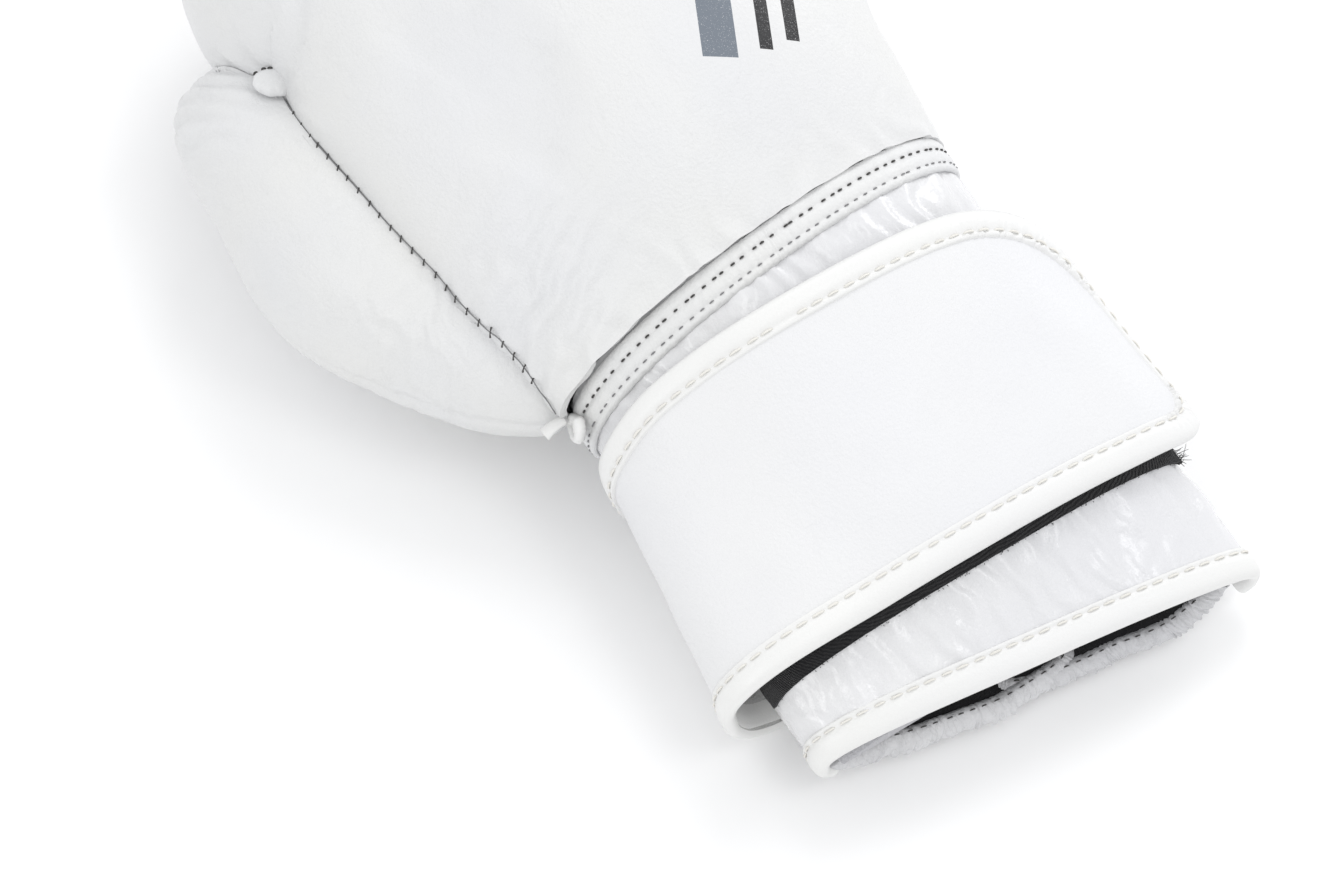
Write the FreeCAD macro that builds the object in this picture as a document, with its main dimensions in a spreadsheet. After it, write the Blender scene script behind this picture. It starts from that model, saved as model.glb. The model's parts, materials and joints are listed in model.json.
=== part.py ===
import FreeCAD
import Part
import os
from FreeCAD import Placement, Rotation, Vector

# A hook-and-loop boxing glove for the right hand, lying palm down, as separate solids. +Z is up and
# the glove rests on z = 0. +Y runs from the cuff's mouth to the knuckles, and the thumb is on the -X
# side. The origin is the middle of the glove's outline, on the floor. Sizes are in millimetres.

doc = FreeCAD.newDocument("boxing_glove")
sizes = doc.addObject("Spreadsheet::Sheet", "Sizes")

SIZES = {
    # lengths along the glove, and its centre line's place across the outline
    "centre_line": 19.0,
    "cuff_length": 118.0,
    "strap_from_mouth": 61.0,  # mouth to the strap's centre line
    "fist_length": 170.0,
    "thumb_length": 118.0,
    "thumb_from_wrist": 4.0,
    # the cuff, outside its leather
    "mouth_width": 122.0,
    "mouth_height": 25.0,
    "mouth_bottom": 4.0,
    "mouth_shift": 9.0,  # the mouth leans towards the little finger
    "cuff_width": 119.0,
    "cuff_height": 50.0,
    "cuff_shift": 3.5,
    "wrist_width": 118.0,
    "wrist_shift": 0.5,
    "wrist_top": 72.0,
    "wrist_bottom": 9.0,
    # the fist, outside its leather
    "fist_width": 148.0,
    "fist_height": 106.0,
    "palm_rise": 13.0,  # how far the palm stays above the floor
    "fist_lean": 21.0,  # how far the knuckles lean towards the thumb
    # the thumb, outside its leather
    "thumb_width": 58.0,
    "thumb_depth": 50.0,
    "thumb_level": 37.0,
    "thumb_stand": 80.0,  # thumb's middle, from the glove's centre line
    "thumb_play": 0.8,  # between the thumb and the fist
    # walls
    "leather": 1.6,
    "lining": 1.2,
    "gap": 0.3,
    "flap_wall": 3.0,
    "cuff_foam": 6.5,
    "heel_foam": 20.0,
    "knuckle_foam": 40.0,
    "side_foam": 20.0,
    "palm_foam": 14.0,
    "thumb_foam": 7.5,
    # seams
    "cuff_seam": 20.0,  # height where the cuff's back meets its flaps
    "fist_seam": 40.0,  # height where the knuckle panel meets the palm panel
    "slit_shift": 6.0,
    # the strap
    "strap_width": 78.0,
    "strap_face": 2.3,
    "strap_backing": 0.8,
    "rest_press": 0.9,  # how far the strap's underside is pressed flat
    "strap_play": 5.0,  # slack where the strap turns round the thumb side
    "end_level": 32.0,  # height of the free end on the little finger's side
    "upper_corner": 26.0,
    "lower_corner": 12.0,
    "strap_anchor": 34.0,  # sewn end under the palm side, from the centre line
    "fold_level": 26.0,
    "peel_line": 14.0,
    "binding": 8.5,
    "binding_wall": 0.8,
    "loop_wall": 1.2,
    "hook_wall": 1.0,
    "tape_room": 0.8,
    "hook_start": 20.0,
    "hook_end": 54.0,
    "loop_start": 50.0,
    "loop_end": 61.0,
    "loop_show": 2.0,  # loop tape that shows below the strap
    # trim
    "welt_width": 9.0,
    "welt_wall": 1.9,
    "bar_size": 7.0,
    "bar_length": 40.0,
    "lock_length": 26.0,
    "lock_width": 15.0,
    "lock_wall": 11.0,
    "passage": 32.0,  # bore from the hand compartment to the thumb
    "piping": 4.0,
    "piping_loop": 11.0,
}

for row, (name, value) in enumerate(SIZES.items(), start=1):
    sizes.set(f"A{row}", name)
    sizes.set(f"B{row}", str(value))
    sizes.setAlias(f"B{row}", name)
doc.recompute()

FAR = 400.0  # beyond the glove on every side
OVERRUN = 12.0  # the cuff's skins run past both ends, and boxes trim them
MOUTH = "( - ( cuff_length + fist_length ) / 2 )"
STRAP_LINE = f"( {MOUTH} + strap_from_mouth )"
WRIST = f"( {MOUTH} + cuff_length )"
CUFF_BOTTOM = "( strap_face + strap_backing + gap - rest_press )"
CUFF_TOP = f"( {CUFF_BOTTOM} + cuff_height )"
TAPES = "( loop_wall + hook_wall + tape_room + 2 * gap )"
STRAP = "( strap_face + gap + strap_backing )"
STRAP_LOW = f"( {STRAP_LINE} - strap_width / 2 )"
STRAP_HIGH = f"( {STRAP_LINE} + strap_width / 2 )"
LONG_AXIS_ACROSS = "rotation ( vector ( 1 ; 0 ; 0 ) ; 90 )"
LONG_AXIS_UP = "rotation ( vector ( 1 ; -1 ; 1 ) ; 120 )"


def named(expression):
    """The expression with each size's name given its sheet."""
    words = str(expression).replace("(", " ( ").replace(")", " ) ").split()
    text = " ".join(f"Sizes.{word}" if word in SIZES else word for word in words)
    for function in ("max", "min", "rotation", "vector"):
        text = text.replace(f"{function} (", f"{function}(")
    return text


def bind(thing, properties):
    for name, expression in properties.items():
        thing.setExpression(name, named(expression))


def section(along, middle, half_width, top, bottom):
    """An upright ellipse: its place along the glove, its middle, half its width, top and bottom."""
    return {"along": along, "middle": middle, "half": half_width, "top": top, "bottom": bottom}


def cuff_sections():
    mouth_top = "( mouth_bottom + mouth_height )"
    return [
        section(f"{MOUTH} - {OVERRUN}", "mouth_shift", "mouth_width / 2",
                f"{mouth_top} - 3", "mouth_bottom"),
        section(MOUTH, "mouth_shift", "mouth_width / 2", mouth_top, "mouth_bottom"),
        section(STRAP_LINE, "cuff_shift", "cuff_width / 2", CUFF_TOP, CUFF_BOTTOM),
        section(WRIST, "wrist_shift", "wrist_width / 2", "wrist_top", "wrist_bottom"),
        section(f"{WRIST} + {OVERRUN}", "( wrist_shift - 1 )", "wrist_width / 2 + 2",
                "wrist_top + 6", "wrist_bottom + 1"),
    ]


# Past the wrist: share of the fist's length, then of its lean, half width and height, and the
# underside's height as a share of the palm's rise.
FIST_PROFILE = (
    (0.18, 0.18, 0.86, 0.84, 1.00),
    (0.40, 0.30, 0.96, 0.96, 0.70),
    (0.62, 0.50, 1.00, 1.00, 0.15),
    (0.80, 0.80, 0.945, 0.945, 0.12),
    (0.92, 0.93, 0.76, 0.82, 0.90),
    (0.98, 0.98, 0.47, 0.68, 2.20),
    (1.00, 1.00, 0.16, 0.56, 3.10),
)


def fist_sections():
    wrist = cuff_sections()[3]
    before = dict(wrist, along=f"{WRIST} - {OVERRUN}", top=f"{wrist['top']} - 6")
    made = [before, wrist]
    for along, lean, width, top, bottom in FIST_PROFILE:
        made.append(section(f"{WRIST} + {along} * fist_length", f"( - {lean} * fist_lean )",
                            f"{width} * fist_width / 2", f"{top} * fist_height",
                            f"{bottom} * palm_rise"))
    return made


def hand_sections():
    """The hand compartment: the skins' sections less the walls round them."""
    cuff, fist = cuff_sections(), fist_sections()
    flap = "( flap_wall + 2 * gap + lining )"
    back = "( leather + cuff_foam + 2 * gap + lining )"
    walls = (
        (cuff[0], back, back, flap),
        (cuff[1], back, back, flap),
        (cuff[2], back, back, flap),
        (cuff[3], back, back, "( flap_wall + 4 )"),
        (fist[2], "( 0.6 * side_foam )", "( leather + heel_foam )", "( 0.8 * palm_foam )"),
        (fist[3], "side_foam", "( leather + 0.8 * knuckle_foam )", "palm_foam"),
        (fist[4], "( 1.25 * side_foam )", "( leather + knuckle_foam )", "( 1.3 * palm_foam )"),
        (fist[5], "( 2 * side_foam )", "( leather + 1.1 * knuckle_foam )", "( 2 * palm_foam )"),
    )
    return [
        section(s["along"], s["middle"], f"{s['half']} - {side}", f"{s['top']} - {top}",
                f"{s['bottom']} + {bottom}")
        for s, side, top, bottom in walls
    ]


def halfway_sections():
    """The face where the two layers of foam over the knuckles meet."""
    pairs = list(zip(fist_sections()[1:6], hand_sections()[3:8]))
    met = [
        section(a["along"], a["middle"], f"( {a['half']} + {b['half']} ) / 2",
                f"( {a['top']} + {b['top']} ) / 2", f"( {a['bottom']} + {b['bottom']} ) / 2")
        for a, b in pairs
    ]
    nose = fist_sections()[6]
    met.append(section(f"{nose['along']} - 6", nose["middle"], "0.42 * fist_width / 2",
                       "0.62 * fist_height", "0.30 * fist_height"))
    return [dict(met[0], along=f"{WRIST} - {OVERRUN}")] + met


# Share of the thumb's length, then of its stand, width and depth, and how far it rises.
THUMB_PROFILE = (
    (0.00, 0.74, 0.40, 0.40, -2.0),
    (0.18, 0.86, 0.84, 0.80, -2.0),
    (0.38, 0.985, 1.00, 0.98, 0.0),
    (0.70, 1.01, 0.955, 0.96, 3.0),
    (0.90, 1.06, 0.74, 0.74, 6.0),
    (0.975, 1.10, 0.44, 0.44, 7.0),
    (1.00, 1.11, 0.16, 0.14, 7.0),
)
HOLLOW_THUMB = THUMB_PROFILE[1:5]


def thumb_sections(profile=THUMB_PROFILE):
    made = []
    for along, stand, width, depth, rise in profile:
        middle = f"( thumb_level + {rise} )"
        made.append(section(f"{WRIST} + thumb_from_wrist + {along} * thumb_length",
                            f"( - {stand} * thumb_stand )", f"{width} * thumb_width / 2",
                            f"{middle} + {depth} * thumb_depth / 2",
                            f"{middle} - {depth} * thumb_depth / 2"))
    return made


# Slack of the strap at each section, as shares of strap_play, on the thumb side and the other.
STRAP_SLACK = ((2.6, 0.4), (2.6, 0.4), (1.0, 0.5), (-0.4, 1.2), (-0.4, 1.2))


def strap_sections():
    """The strap's inner face: clear of the tapes, and slack where it turns round the thumb side."""
    return [
        section(s["along"], f"{s['middle']} + ( {far} - ( {near} ) ) * strap_play / 2",
                f"{s['half']} + {TAPES} + ( {far} + ( {near} ) ) * strap_play / 2",
                f"{s['top']} + {TAPES}", f"{s['bottom']} - gap")
        for s, (near, far) in zip(cuff_sections(), STRAP_SLACK)
    ]


def skin(name, sections, inward, closed_end=False):
    """A solid lofted through the sections, each drawn in by the given amount."""
    rings = []
    for number, s in enumerate(sections):
        ring = doc.addObject("Part::Ellipse", f"{name}_ring_{number}")
        ring.MajorRadius, ring.MinorRadius = 50, 1
        nose = closed_end and number == len(sections) - 1
        wide = f"( {s['half']} - {inward} )"
        high = f"( ( {s['top']} - ( {s['bottom']} ) ) / 2 - {inward} )"
        if nose:
            wide, high = f"max ( {wide} ; 2.1 )", f"max ( {high} ; 2 )"
        bind(ring, {
            "MajorRadius": f"max ( {wide} ; {high} )",
            "MinorRadius": f"min ( {wide} ; {high} )",
            "Placement.Rotation": f"{high} > {wide} ? {LONG_AXIS_UP} : {LONG_AXIS_ACROSS}",
            "Placement.Base.x": f"{s['middle']} + centre_line",
            "Placement.Base.y": f"{s['along']} - {inward}" if nose else s["along"],
            "Placement.Base.z": f"( {s['top']} + {s['bottom']} ) / 2",
        })
        rings.append(ring)
    loft = doc.addObject("Part::Loft", name)
    loft.Sections, loft.Solid = rings, True
    return loft


def block(name, x=(-FAR, FAR), y=(-FAR, FAR), z=(-FAR, FAR)):
    """A box between two expressions on each axis."""
    box = doc.addObject("Part::Box", name)
    bind(box, {
        "Placement.Base.x": f"{x[0]} + centre_line", "Placement.Base.y": y[0],
        "Placement.Base.z": z[0], "Length": f"{x[1]} - ( {x[0]} )",
        "Width": f"{y[1]} - ( {y[0]} )", "Height": f"{z[1]} - ( {z[0]} )",
    })
    return box


def rod(name, radius, x=(-FAR, FAR), y="0", z="0"):
    """A cylinder along X between two expressions."""
    made = doc.addObject("Part::Cylinder", name)
    made.Placement = Placement(Vector(), Rotation(Vector(0, 1, 0), 90))
    bind(made, {
        "Radius": radius, "Height": f"{x[1]} - ( {x[0]} )",
        "Placement.Base.x": f"{x[0]} + centre_line", "Placement.Base.y": y,
        "Placement.Base.z": z,
    })
    return made


def cut(name, base, *tools):
    """The base less each tool in turn; the last cut takes the name."""
    for number, tool in enumerate(tools, start=1):
        made = doc.addObject("Part::Cut", name if number == len(tools) else f"{name}_{number}")
        made.Base, made.Tool = base, tool
        base = made
    return base


def common(name, first, second):
    made = doc.addObject("Part::Common", name)
    made.Base, made.Tool = first, second
    return made


def fuse(name, *pieces):
    made = doc.addObject("Part::MultiFuse", name)
    made.Shapes = list(pieces)
    return made


parts = {}  # node name: object


def part(name, thing):
    """Gives an object its node's name."""
    thing.Label = name
    parts[name] = thing
    return thing


def joined(a, b):
    """The shell between two lofts."""
    return cut(f"{a.Name}_shell", a, b)


# The hollows, and the fist grown by the room that the thumb needs.
hand, fist, cuff = hand_sections(), fist_sections(), cuff_sections()
hand_hollow = skin("hand_hollow", hand, "0", closed_end=True)
hand_pocket = skin("hand_pocket", hand, "( - lining )", closed_end=True)
foam_hollow = skin("foam_hollow", hand, "( - lining - gap )", closed_end=True)
thumb_middle = f"{WRIST} + thumb_from_wrist + 0.42 * thumb_length"


def bore(name, grown, x):
    """The way from the hand compartment to the thumb."""
    return rod(name, f"passage / 2 + {grown}", x, thumb_middle, "thumb_level")


thumb_side = ("( - thumb_stand - 5 )", "( - 0.3 * fist_width / 2 )")
lined_bore = bore("lined_bore", "lining + gap", thumb_side)

# The fist's leather, and the foam behind it.
fist_skin = cut("fist_skin", skin("fist_outside", fist, "0", True),
                skin("fist_inside", fist, "leather", True))
above = block("above_the_seam", y=(f"{WRIST} + gap", FAR), z=("fist_seam + gap / 2", FAR))
below = block("below_the_seam", y=(f"{WRIST} + gap", FAR), z=("- 50", "fist_seam - gap / 2"))
part("back_panel", cut("back_panel", common("upper_skin", fist_skin, above), lined_bore))
part("palm_panel", cut("palm_panel", common("lower_skin", fist_skin, below), lined_bore))

fist_core = skin("fist_core", fist, "( leather + gap )", True)
halfway = halfway_sections()
layer_face = skin("layer_face", halfway, "( - gap / 2 )")
inner_face = skin("inner_face", halfway, "( gap / 2 )")
above_foam = block("above_foam", y=(f"{WRIST} + gap", FAR), z=("fist_seam + gap / 2", FAR))
part("knuckle_foam", cut("knuckle_foam", common("core_above", fist_core, above_foam), layer_face,
                         foam_hollow, lined_bore))
part("knuckle_liner_foam", cut("knuckle_liner_foam", common("liner_above", inner_face, above_foam),
                               foam_hollow, lined_bore))

bar_line = f"{WRIST} + 0.4 * fist_length"
bar_level = "( 0.7 * palm_rise + leather + 0.45 * palm_foam )"
bar_ends = ("( - bar_length / 2 ) - 0.3 * fist_lean", "bar_length / 2 - 0.3 * fist_lean")
bar_slot_ends = (f"{bar_ends[0]} - gap", f"{bar_ends[1]} + gap")
part("grip_bar", rod("grip_bar", "bar_size / 2", bar_ends, bar_line, bar_level))
bar_slot = rod("bar_slot", "bar_size / 2 + gap", bar_slot_ends, bar_line, bar_level)
fingers_at = f"{WRIST} + 0.55 * fist_length"
palm_half = block("palm_half", y=(f"{WRIST} + gap", f"{fingers_at} - gap / 2"),
                  z=("- 50", "fist_seam - gap / 2"))
finger_half = block("finger_half", y=(f"{fingers_at} + gap / 2", FAR),
                    z=("- 50", "fist_seam - gap / 2"))
part("palm_foam", cut("palm_foam", common("core_palm", fist_core, palm_half), foam_hollow,
                      lined_bore, bar_slot))
part("finger_foam", cut("finger_foam", common("core_fingers", fist_core, finger_half),
                        foam_hollow, lined_bore))

# The lining of the hand, from the mouth to the fingertips, and of the thumb.
part("hand_lining", cut("hand_lining",
                        common("lining_trimmed", cut("hand_pocket_shell", hand_pocket, hand_hollow),
                               block("past_the_mouth", y=(f"{MOUTH} + gap", FAR))),
                        bore("thumb_way", "lining + gap", thumb_side)))

# The thumb, open towards the fist.
thumb = thumb_sections()
hollow_thumb = thumb_sections(HOLLOW_THUMB)
fist_room = skin("fist_room", fist, "( - thumb_play )", True)
thumb_skin = cut("thumb_skin", skin("thumb_outside", thumb, "0", True),
                 skin("thumb_inside", thumb, "leather", True), fist_room)
upper = block("thumb_above", z=("thumb_level + gap / 2", FAR))
lower = block("thumb_below", z=("- 50", "thumb_level - gap / 2"))
part("thumb_outer_panel", common("thumb_outer_panel", thumb_skin, upper))
part("thumb_inner_panel", common("thumb_inner_panel", thumb_skin, lower))
in_foam = "( leather + thumb_foam + gap )"
thumb_void = skin("thumb_void", hollow_thumb, f"( {in_foam} + gap + lining )", True)
part("thumb_foam", cut("thumb_foam", skin("thumb_core", thumb, "( leather + gap )", True),
                       skin("thumb_pocket", hollow_thumb, in_foam, True), fist_room))
part("thumb_lining", cut("thumb_lining",
                         skin("thumb_lining_outside", hollow_thumb, f"( {in_foam} + gap )", True),
                         thumb_void, fist_room))

# The small pad that ties the thumb's end to the fist.
lock_at = f"{WRIST} + thumb_from_wrist + 0.83 * thumb_length"
lock_pad = doc.addObject("Part::Ellipsoid", "lock_pad")
bind(lock_pad, {
    "Radius1": "lock_wall / 2", "Radius2": "lock_width / 2", "Radius3": "lock_length / 2",
    "Placement.Base.x": "centre_line - thumb_stand", "Placement.Base.y": lock_at,
    "Placement.Base.z": "( thumb_level + 0.5 * thumb_depth + 1 )",
})
part("thumb_lock_tab", cut("thumb_lock_tab", lock_pad, fist_room,
                           skin("thumb_room", thumb, "( - gap )", True)))

# The cuff: a leather back over foam, and two flaps that meet on the palm side.
cuff_outside = skin("cuff_outside", cuff, "0")
cuff_back_box = block("cuff_back_box", y=(MOUTH, WRIST), z=("cuff_seam + gap / 2", FAR))
part("cuff_back", common("cuff_back", cut("cuff_skin", cuff_outside,
                                          skin("cuff_inside", cuff, "leather")), cuff_back_box))
part("cuff_foam", common("cuff_foam", cut("cuff_core_shell",
                                          skin("cuff_core", cuff, "( leather + gap )"),
                                          foam_hollow),
                         block("cuff_foam_box", y=(f"{MOUTH} + 2", WRIST),
                               z=("cuff_seam + gap / 2", FAR))))
flaps = cut("flap_skin", cuff_outside, skin("flap_inside", cuff, "flap_wall"))
under = ("- 50", "cuff_seam - gap / 2")
part("thumb_flap", common("thumb_flap", flaps,
                          block("thumb_flap_box", x=(-FAR, "slit_shift - gap"), y=(MOUTH, WRIST),
                                z=under)))
part("finger_flap", common("finger_flap", flaps,
                           block("finger_flap_box", x=("slit_shift + gap", FAR), y=(MOUTH, WRIST),
                                 z=under)))


def band(name, low, high, y, z=(-50, FAR)):
    """A band round the cuff, between two heights over its leather."""
    ring = cut(f"{name}_ring", skin(f"{name}_outer", cuff, f"( - {high} )"),
               skin(f"{name}_inner", cuff, f"( - {low} )"))
    return common(name, ring, block(f"{name}_box", y=y, z=z))


part("cuff_binding", band("cuff_binding", "gap", "( gap + binding_wall )",
                          (MOUTH, f"{MOUTH} + binding"), ("cuff_seam - 8", FAR)))
part("wrist_welt", band("wrist_welt", "gap", "( gap + welt_wall )",
                        (f"{WRIST} - welt_width", WRIST), ("cuff_seam - 8", FAR)))
loop_ring = cut("loop_ring", skin("loop_outer", cuff, "( - gap - loop_wall )"),
                skin("loop_inner", cuff, "( - gap )"))
part("loop_patch", common("loop_patch", loop_ring,
                          block("loop_box", x=("( - loop_start )", "loop_end"),
                                y=(f"{STRAP_LOW} - loop_show", f"{STRAP_HIGH} - binding"),
                                z=("cuff_seam + binding", FAR))))

# The strap: sewn to the little finger's flap under the palm, then round the thumb side and over the
# back of the wrist to its free end.
strap = strap_sections()
backing = cut("backing_ring", skin("backing_outer", strap, "( - strap_backing )"),
              skin("backing_inner", strap, "0"))
face = cut("face_ring", skin("face_outer", strap, f"( - {STRAP} )"),
           skin("face_inner", strap, "( - strap_backing - gap )"))
whole_wall = cut("whole_wall", skin("sole_outer", strap, f"( - {STRAP} )"),
                 skin("sole_inner", strap, "0"))
edging = cut("edging_ring", skin("edging_outer", strap, f"( - {STRAP} - gap - binding_wall )"),
             skin("edging_inner", strap, f"( - {STRAP} - gap )"))


def flap_box(name, inset="0"):
    return block(name, x=(-FAR, "peel_line - gap / 2"),
                 y=(f"{STRAP_LOW} + {inset}", f"{STRAP_HIGH} - {inset}"),
                 z=("fold_level + gap / 2", FAR))


def tip_region(name, inset="0"):
    """The free end's outline, seen from the little finger's side, with two rounded corners."""
    low, high = f"{STRAP_LOW} + {inset}", f"{STRAP_HIGH} - {inset}"
    x = ("peel_line + gap / 2", FAR)
    base = f"( end_level + {inset} )"
    small, large = f"max ( lower_corner - {inset} ; 2 )", f"max ( upper_corner - {inset} ; 2 )"
    return fuse(
        name,
        block(f"{name}_middle", x, (f"{low} + {small}", f"{high} - {large}"), (base, FAR)),
        block(f"{name}_lower", x, (low, f"{low} + {small}"), (f"{base} + {small}", FAR)),
        block(f"{name}_upper", x, (f"{high} - {large}", high), (f"{base} + {large}", FAR)),
        rod(f"{name}_low_round", small, x, f"{low} + {small}", f"{base} + {small}"),
        rod(f"{name}_high_round", large, x, f"{high} - {large}", f"{base} + {large}"))


part("strap_face", common("strap_face", face, flap_box("flap_region")))
part("strap_backing", common("strap_backing", backing, flap_box("flap_region_in")))
part("strap_binding", common("strap_binding", edging,
                             cut("flap_rim", flap_box("flap_rim_out"),
                                 flap_box("flap_rim_in", "binding"))))
tip = tip_region("tip_region")
part("strap_tip_face", common("strap_tip_face", face, tip))
part("strap_tip_backing", common("strap_tip_backing", backing, tip_region("tip_region_in")))
part("strap_tip_binding", common("strap_tip_binding", edging,
                                 cut("tip_rim", tip_region("tip_rim_out"),
                                     tip_region("tip_rim_in", "binding"))))
hook_ring = cut("hook_ring", skin("hook_outer", strap, "gap"),
                skin("hook_inner", strap, "( gap + hook_wall )"))
part("hook_patch", common("hook_patch", hook_ring,
                          block("hook_box", x=("hook_start", "hook_end"),
                                y=(f"{STRAP_LOW} + binding", f"{STRAP_HIGH} - binding"),
                                z=("end_level + binding", FAR))))
sole_side = block("sole_side", x=(-FAR, "strap_anchor"), y=(STRAP_LOW, STRAP_HIGH),
                  z=("0", "fold_level - gap / 2"))
part("strap_sole", common("strap_sole", whole_wall, sole_side))

# A curl of piping where the welt ends beside the thumb.
curl = doc.addObject("Part::Torus", "piping_curl")
curl.Placement = Placement(Vector(), Rotation(Vector(0, 1, 0), -70))
bind(curl, {
    "Radius1": "( piping_loop - piping ) / 2", "Radius2": "piping / 2",
    "Placement.Base.x": "centre_line + wrist_shift - wrist_width / 2 - piping + 1",
    "Placement.Base.y": f"{WRIST} - welt_width - 2",
    "Placement.Base.z": "( wrist_top + wrist_bottom ) / 2 + 4",
})
part("piping_curl", curl)

doc.recompute()
for thing in doc.Objects:
    if "Invalid" in thing.State or "Error" in thing.State:
        raise RuntimeError(f"{thing.Name}: {thing.State}")
for name, thing in parts.items():
    if thing.Shape.isNull() or not thing.Shape.isValid() or not thing.Shape.Solids:
        raise RuntimeError(f"{name} has no valid solid")

os.makedirs("parts", exist_ok=True)
for name, thing in parts.items():
    thing.Shape.exportStep(f"parts/{name}.step")
    print(f"{name}: {len(thing.Shape.Solids)} solids, {thing.Shape.Volume:.0f} cubic mm")
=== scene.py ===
import json
import math
import bpy
import bmesh
import numpy as np
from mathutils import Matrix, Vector
from mathutils.bvhtree import BVHTree

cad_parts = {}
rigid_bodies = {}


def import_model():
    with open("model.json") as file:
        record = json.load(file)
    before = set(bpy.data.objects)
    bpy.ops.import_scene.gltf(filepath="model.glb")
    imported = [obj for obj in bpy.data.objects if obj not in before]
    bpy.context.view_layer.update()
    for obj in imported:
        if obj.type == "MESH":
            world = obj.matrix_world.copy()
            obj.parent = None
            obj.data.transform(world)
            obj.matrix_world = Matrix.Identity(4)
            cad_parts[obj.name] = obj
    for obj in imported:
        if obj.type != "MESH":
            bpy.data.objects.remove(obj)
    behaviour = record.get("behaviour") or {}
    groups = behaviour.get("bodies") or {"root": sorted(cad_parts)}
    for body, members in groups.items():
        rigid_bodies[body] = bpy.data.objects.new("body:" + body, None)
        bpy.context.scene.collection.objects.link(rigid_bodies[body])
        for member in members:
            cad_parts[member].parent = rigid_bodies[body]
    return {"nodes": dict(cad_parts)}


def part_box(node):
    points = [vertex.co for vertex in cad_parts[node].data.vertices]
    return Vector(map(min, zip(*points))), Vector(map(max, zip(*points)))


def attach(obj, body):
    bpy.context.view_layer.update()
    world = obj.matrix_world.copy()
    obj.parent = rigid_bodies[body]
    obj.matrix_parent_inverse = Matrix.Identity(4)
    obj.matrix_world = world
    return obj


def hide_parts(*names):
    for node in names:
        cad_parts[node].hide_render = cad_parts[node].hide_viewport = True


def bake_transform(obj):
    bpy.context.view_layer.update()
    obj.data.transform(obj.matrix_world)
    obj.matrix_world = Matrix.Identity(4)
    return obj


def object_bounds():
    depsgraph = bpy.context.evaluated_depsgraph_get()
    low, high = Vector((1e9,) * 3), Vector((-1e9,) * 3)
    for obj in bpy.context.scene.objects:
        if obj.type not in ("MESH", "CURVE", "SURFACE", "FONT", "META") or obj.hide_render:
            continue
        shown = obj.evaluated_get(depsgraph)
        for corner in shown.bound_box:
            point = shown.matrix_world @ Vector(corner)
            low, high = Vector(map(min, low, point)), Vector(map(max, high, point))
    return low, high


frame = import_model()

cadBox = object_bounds()


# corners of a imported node, in millimetres
def nodeBox(node):
    lo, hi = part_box(node)
    return np.array(lo) * 1000.0, np.array(hi) * 1000.0


mouthY = nodeBox("cuff_back")[0][1]  # the cuff's open end
wristY = nodeBox("cuff_back")[1][1]  # where the cuff meets the fist
strapLow, strapHigh = nodeBox("strap_face")[0][1] + 1.3, nodeBox("strap_face")[1][1] - 3.4

# rows: place along the piece, middle, half width, top, bottom, squareness
fistShape = {
    "rows": [
        (-16.0, 20.5, 59.2, 66.5, 7.0, 2.15),
        (0.0, 19.5, 60.0, 72.6, 8.6, 2.15),
        (30.6, 15.2, 64.4, 89.0, 13.0, 2.1),
        (68.0, 12.7, 71.0, 101.8, 9.1, 2.1),
        (105.4, 8.5, 74.0, 106.0, 2.2, 2.1),
        (136.0, 2.2, 69.9, 100.2, 1.9, 2.1),
        (156.4, -0.5, 56.2, 86.9, 11.7, 2.1),
        (166.6, -1.6, 34.8, 72.0, 28.6, 2.0),
        (170.0, -2.0, 6.0, 56.0, 44.0, 2.0),
    ],
    "foldBack": -2.6,  # the leather's fold, from the wrist line on the glove's axis
    "foldSlant": 0.108,  # and how it runs towards the little finger's side
    "foldReach": 26.0,
    "seamHeight": 40.0,
    "voxel": 4.4,
    "leather": 2.0,
    "fill": 0.85,
    "swell": (2.0, 1.6, -0.03),  # pressure, the most it moves, the cloth's shrinking
}
thumbShape = {
    "rows": [
        (0.0, -43.5, 3.0, 42.0, 28.0, 2.0),
        (10.0, -46.8, 12.0, 49.0, 20.5, 2.0),
        (31.0, -51.5, 24.5, 58.0, 15.0, 2.0),
        (54.8, -59.8, 29.2, 65.5, 12.5, 2.05),
        (92.6, -61.8, 28.0, 67.5, 15.0, 2.05),
        (114.2, -65.6, 22.5, 62.5, 24.0, 2.0),
        (124.0, -69.4, 13.5, 55.5, 32.5, 2.0),
        (128.2, -70.5, 4.0, 47.5, 40.5, 2.0),
    ],
    "fromWrist": -6.0,
    "seamHeight": 37.0,
    "play": 0.35,
    "voxel": 3.8,
    "leather": 1.5,
    "fill": 0.85,
    "swell": (2.0, 1.2, -0.02),
}
cuffShape = {
    "rows": [
        (-12.0, 28.5, 61.0, 25.0, 4.2, 3.3),
        (0.0, 28.0, 61.0, 28.5, 4.2, 3.2),
        (20.0, 26.5, 60.6, 37.5, 3.2, 2.7),
        (61.0, 22.5, 59.5, 53.0, 2.6, 2.3),
        (100.0, 20.0, 58.6, 67.0, 6.0, 2.2),
        (118.0, 19.5, 58.6, 71.6, 9.2, 2.15),
        (128.0, 19.3, 58.6, 73.0, 10.0, 2.15),
    ],
    "mouthSlant": -0.12,  # the mouth runs out towards the little finger's side
    "mouthBack": 1.2,
    "leather": 1.6,
    "fill": 0.5,
}
# where the thumb is sewn to the fist
thumbSeam = [(-57.8, 71, 67.5), (-57.6, 60, 67.2), (-58, 46, 66), (-57.5, 33, 63), (-56, 20, 59),
             (-54, 8, 54.5), (-52, -3.5, 50.5), (-49.8, -14.5, 46.5), (-46.5, -23, 43.5),
             (-42.5, -30.0, 41.5), (-39.5, -33.5, 40.0)]
tabPlace = np.array([-61.6, 74.8, 65.5])  # the small tab that holds thumb and fist together


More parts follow.
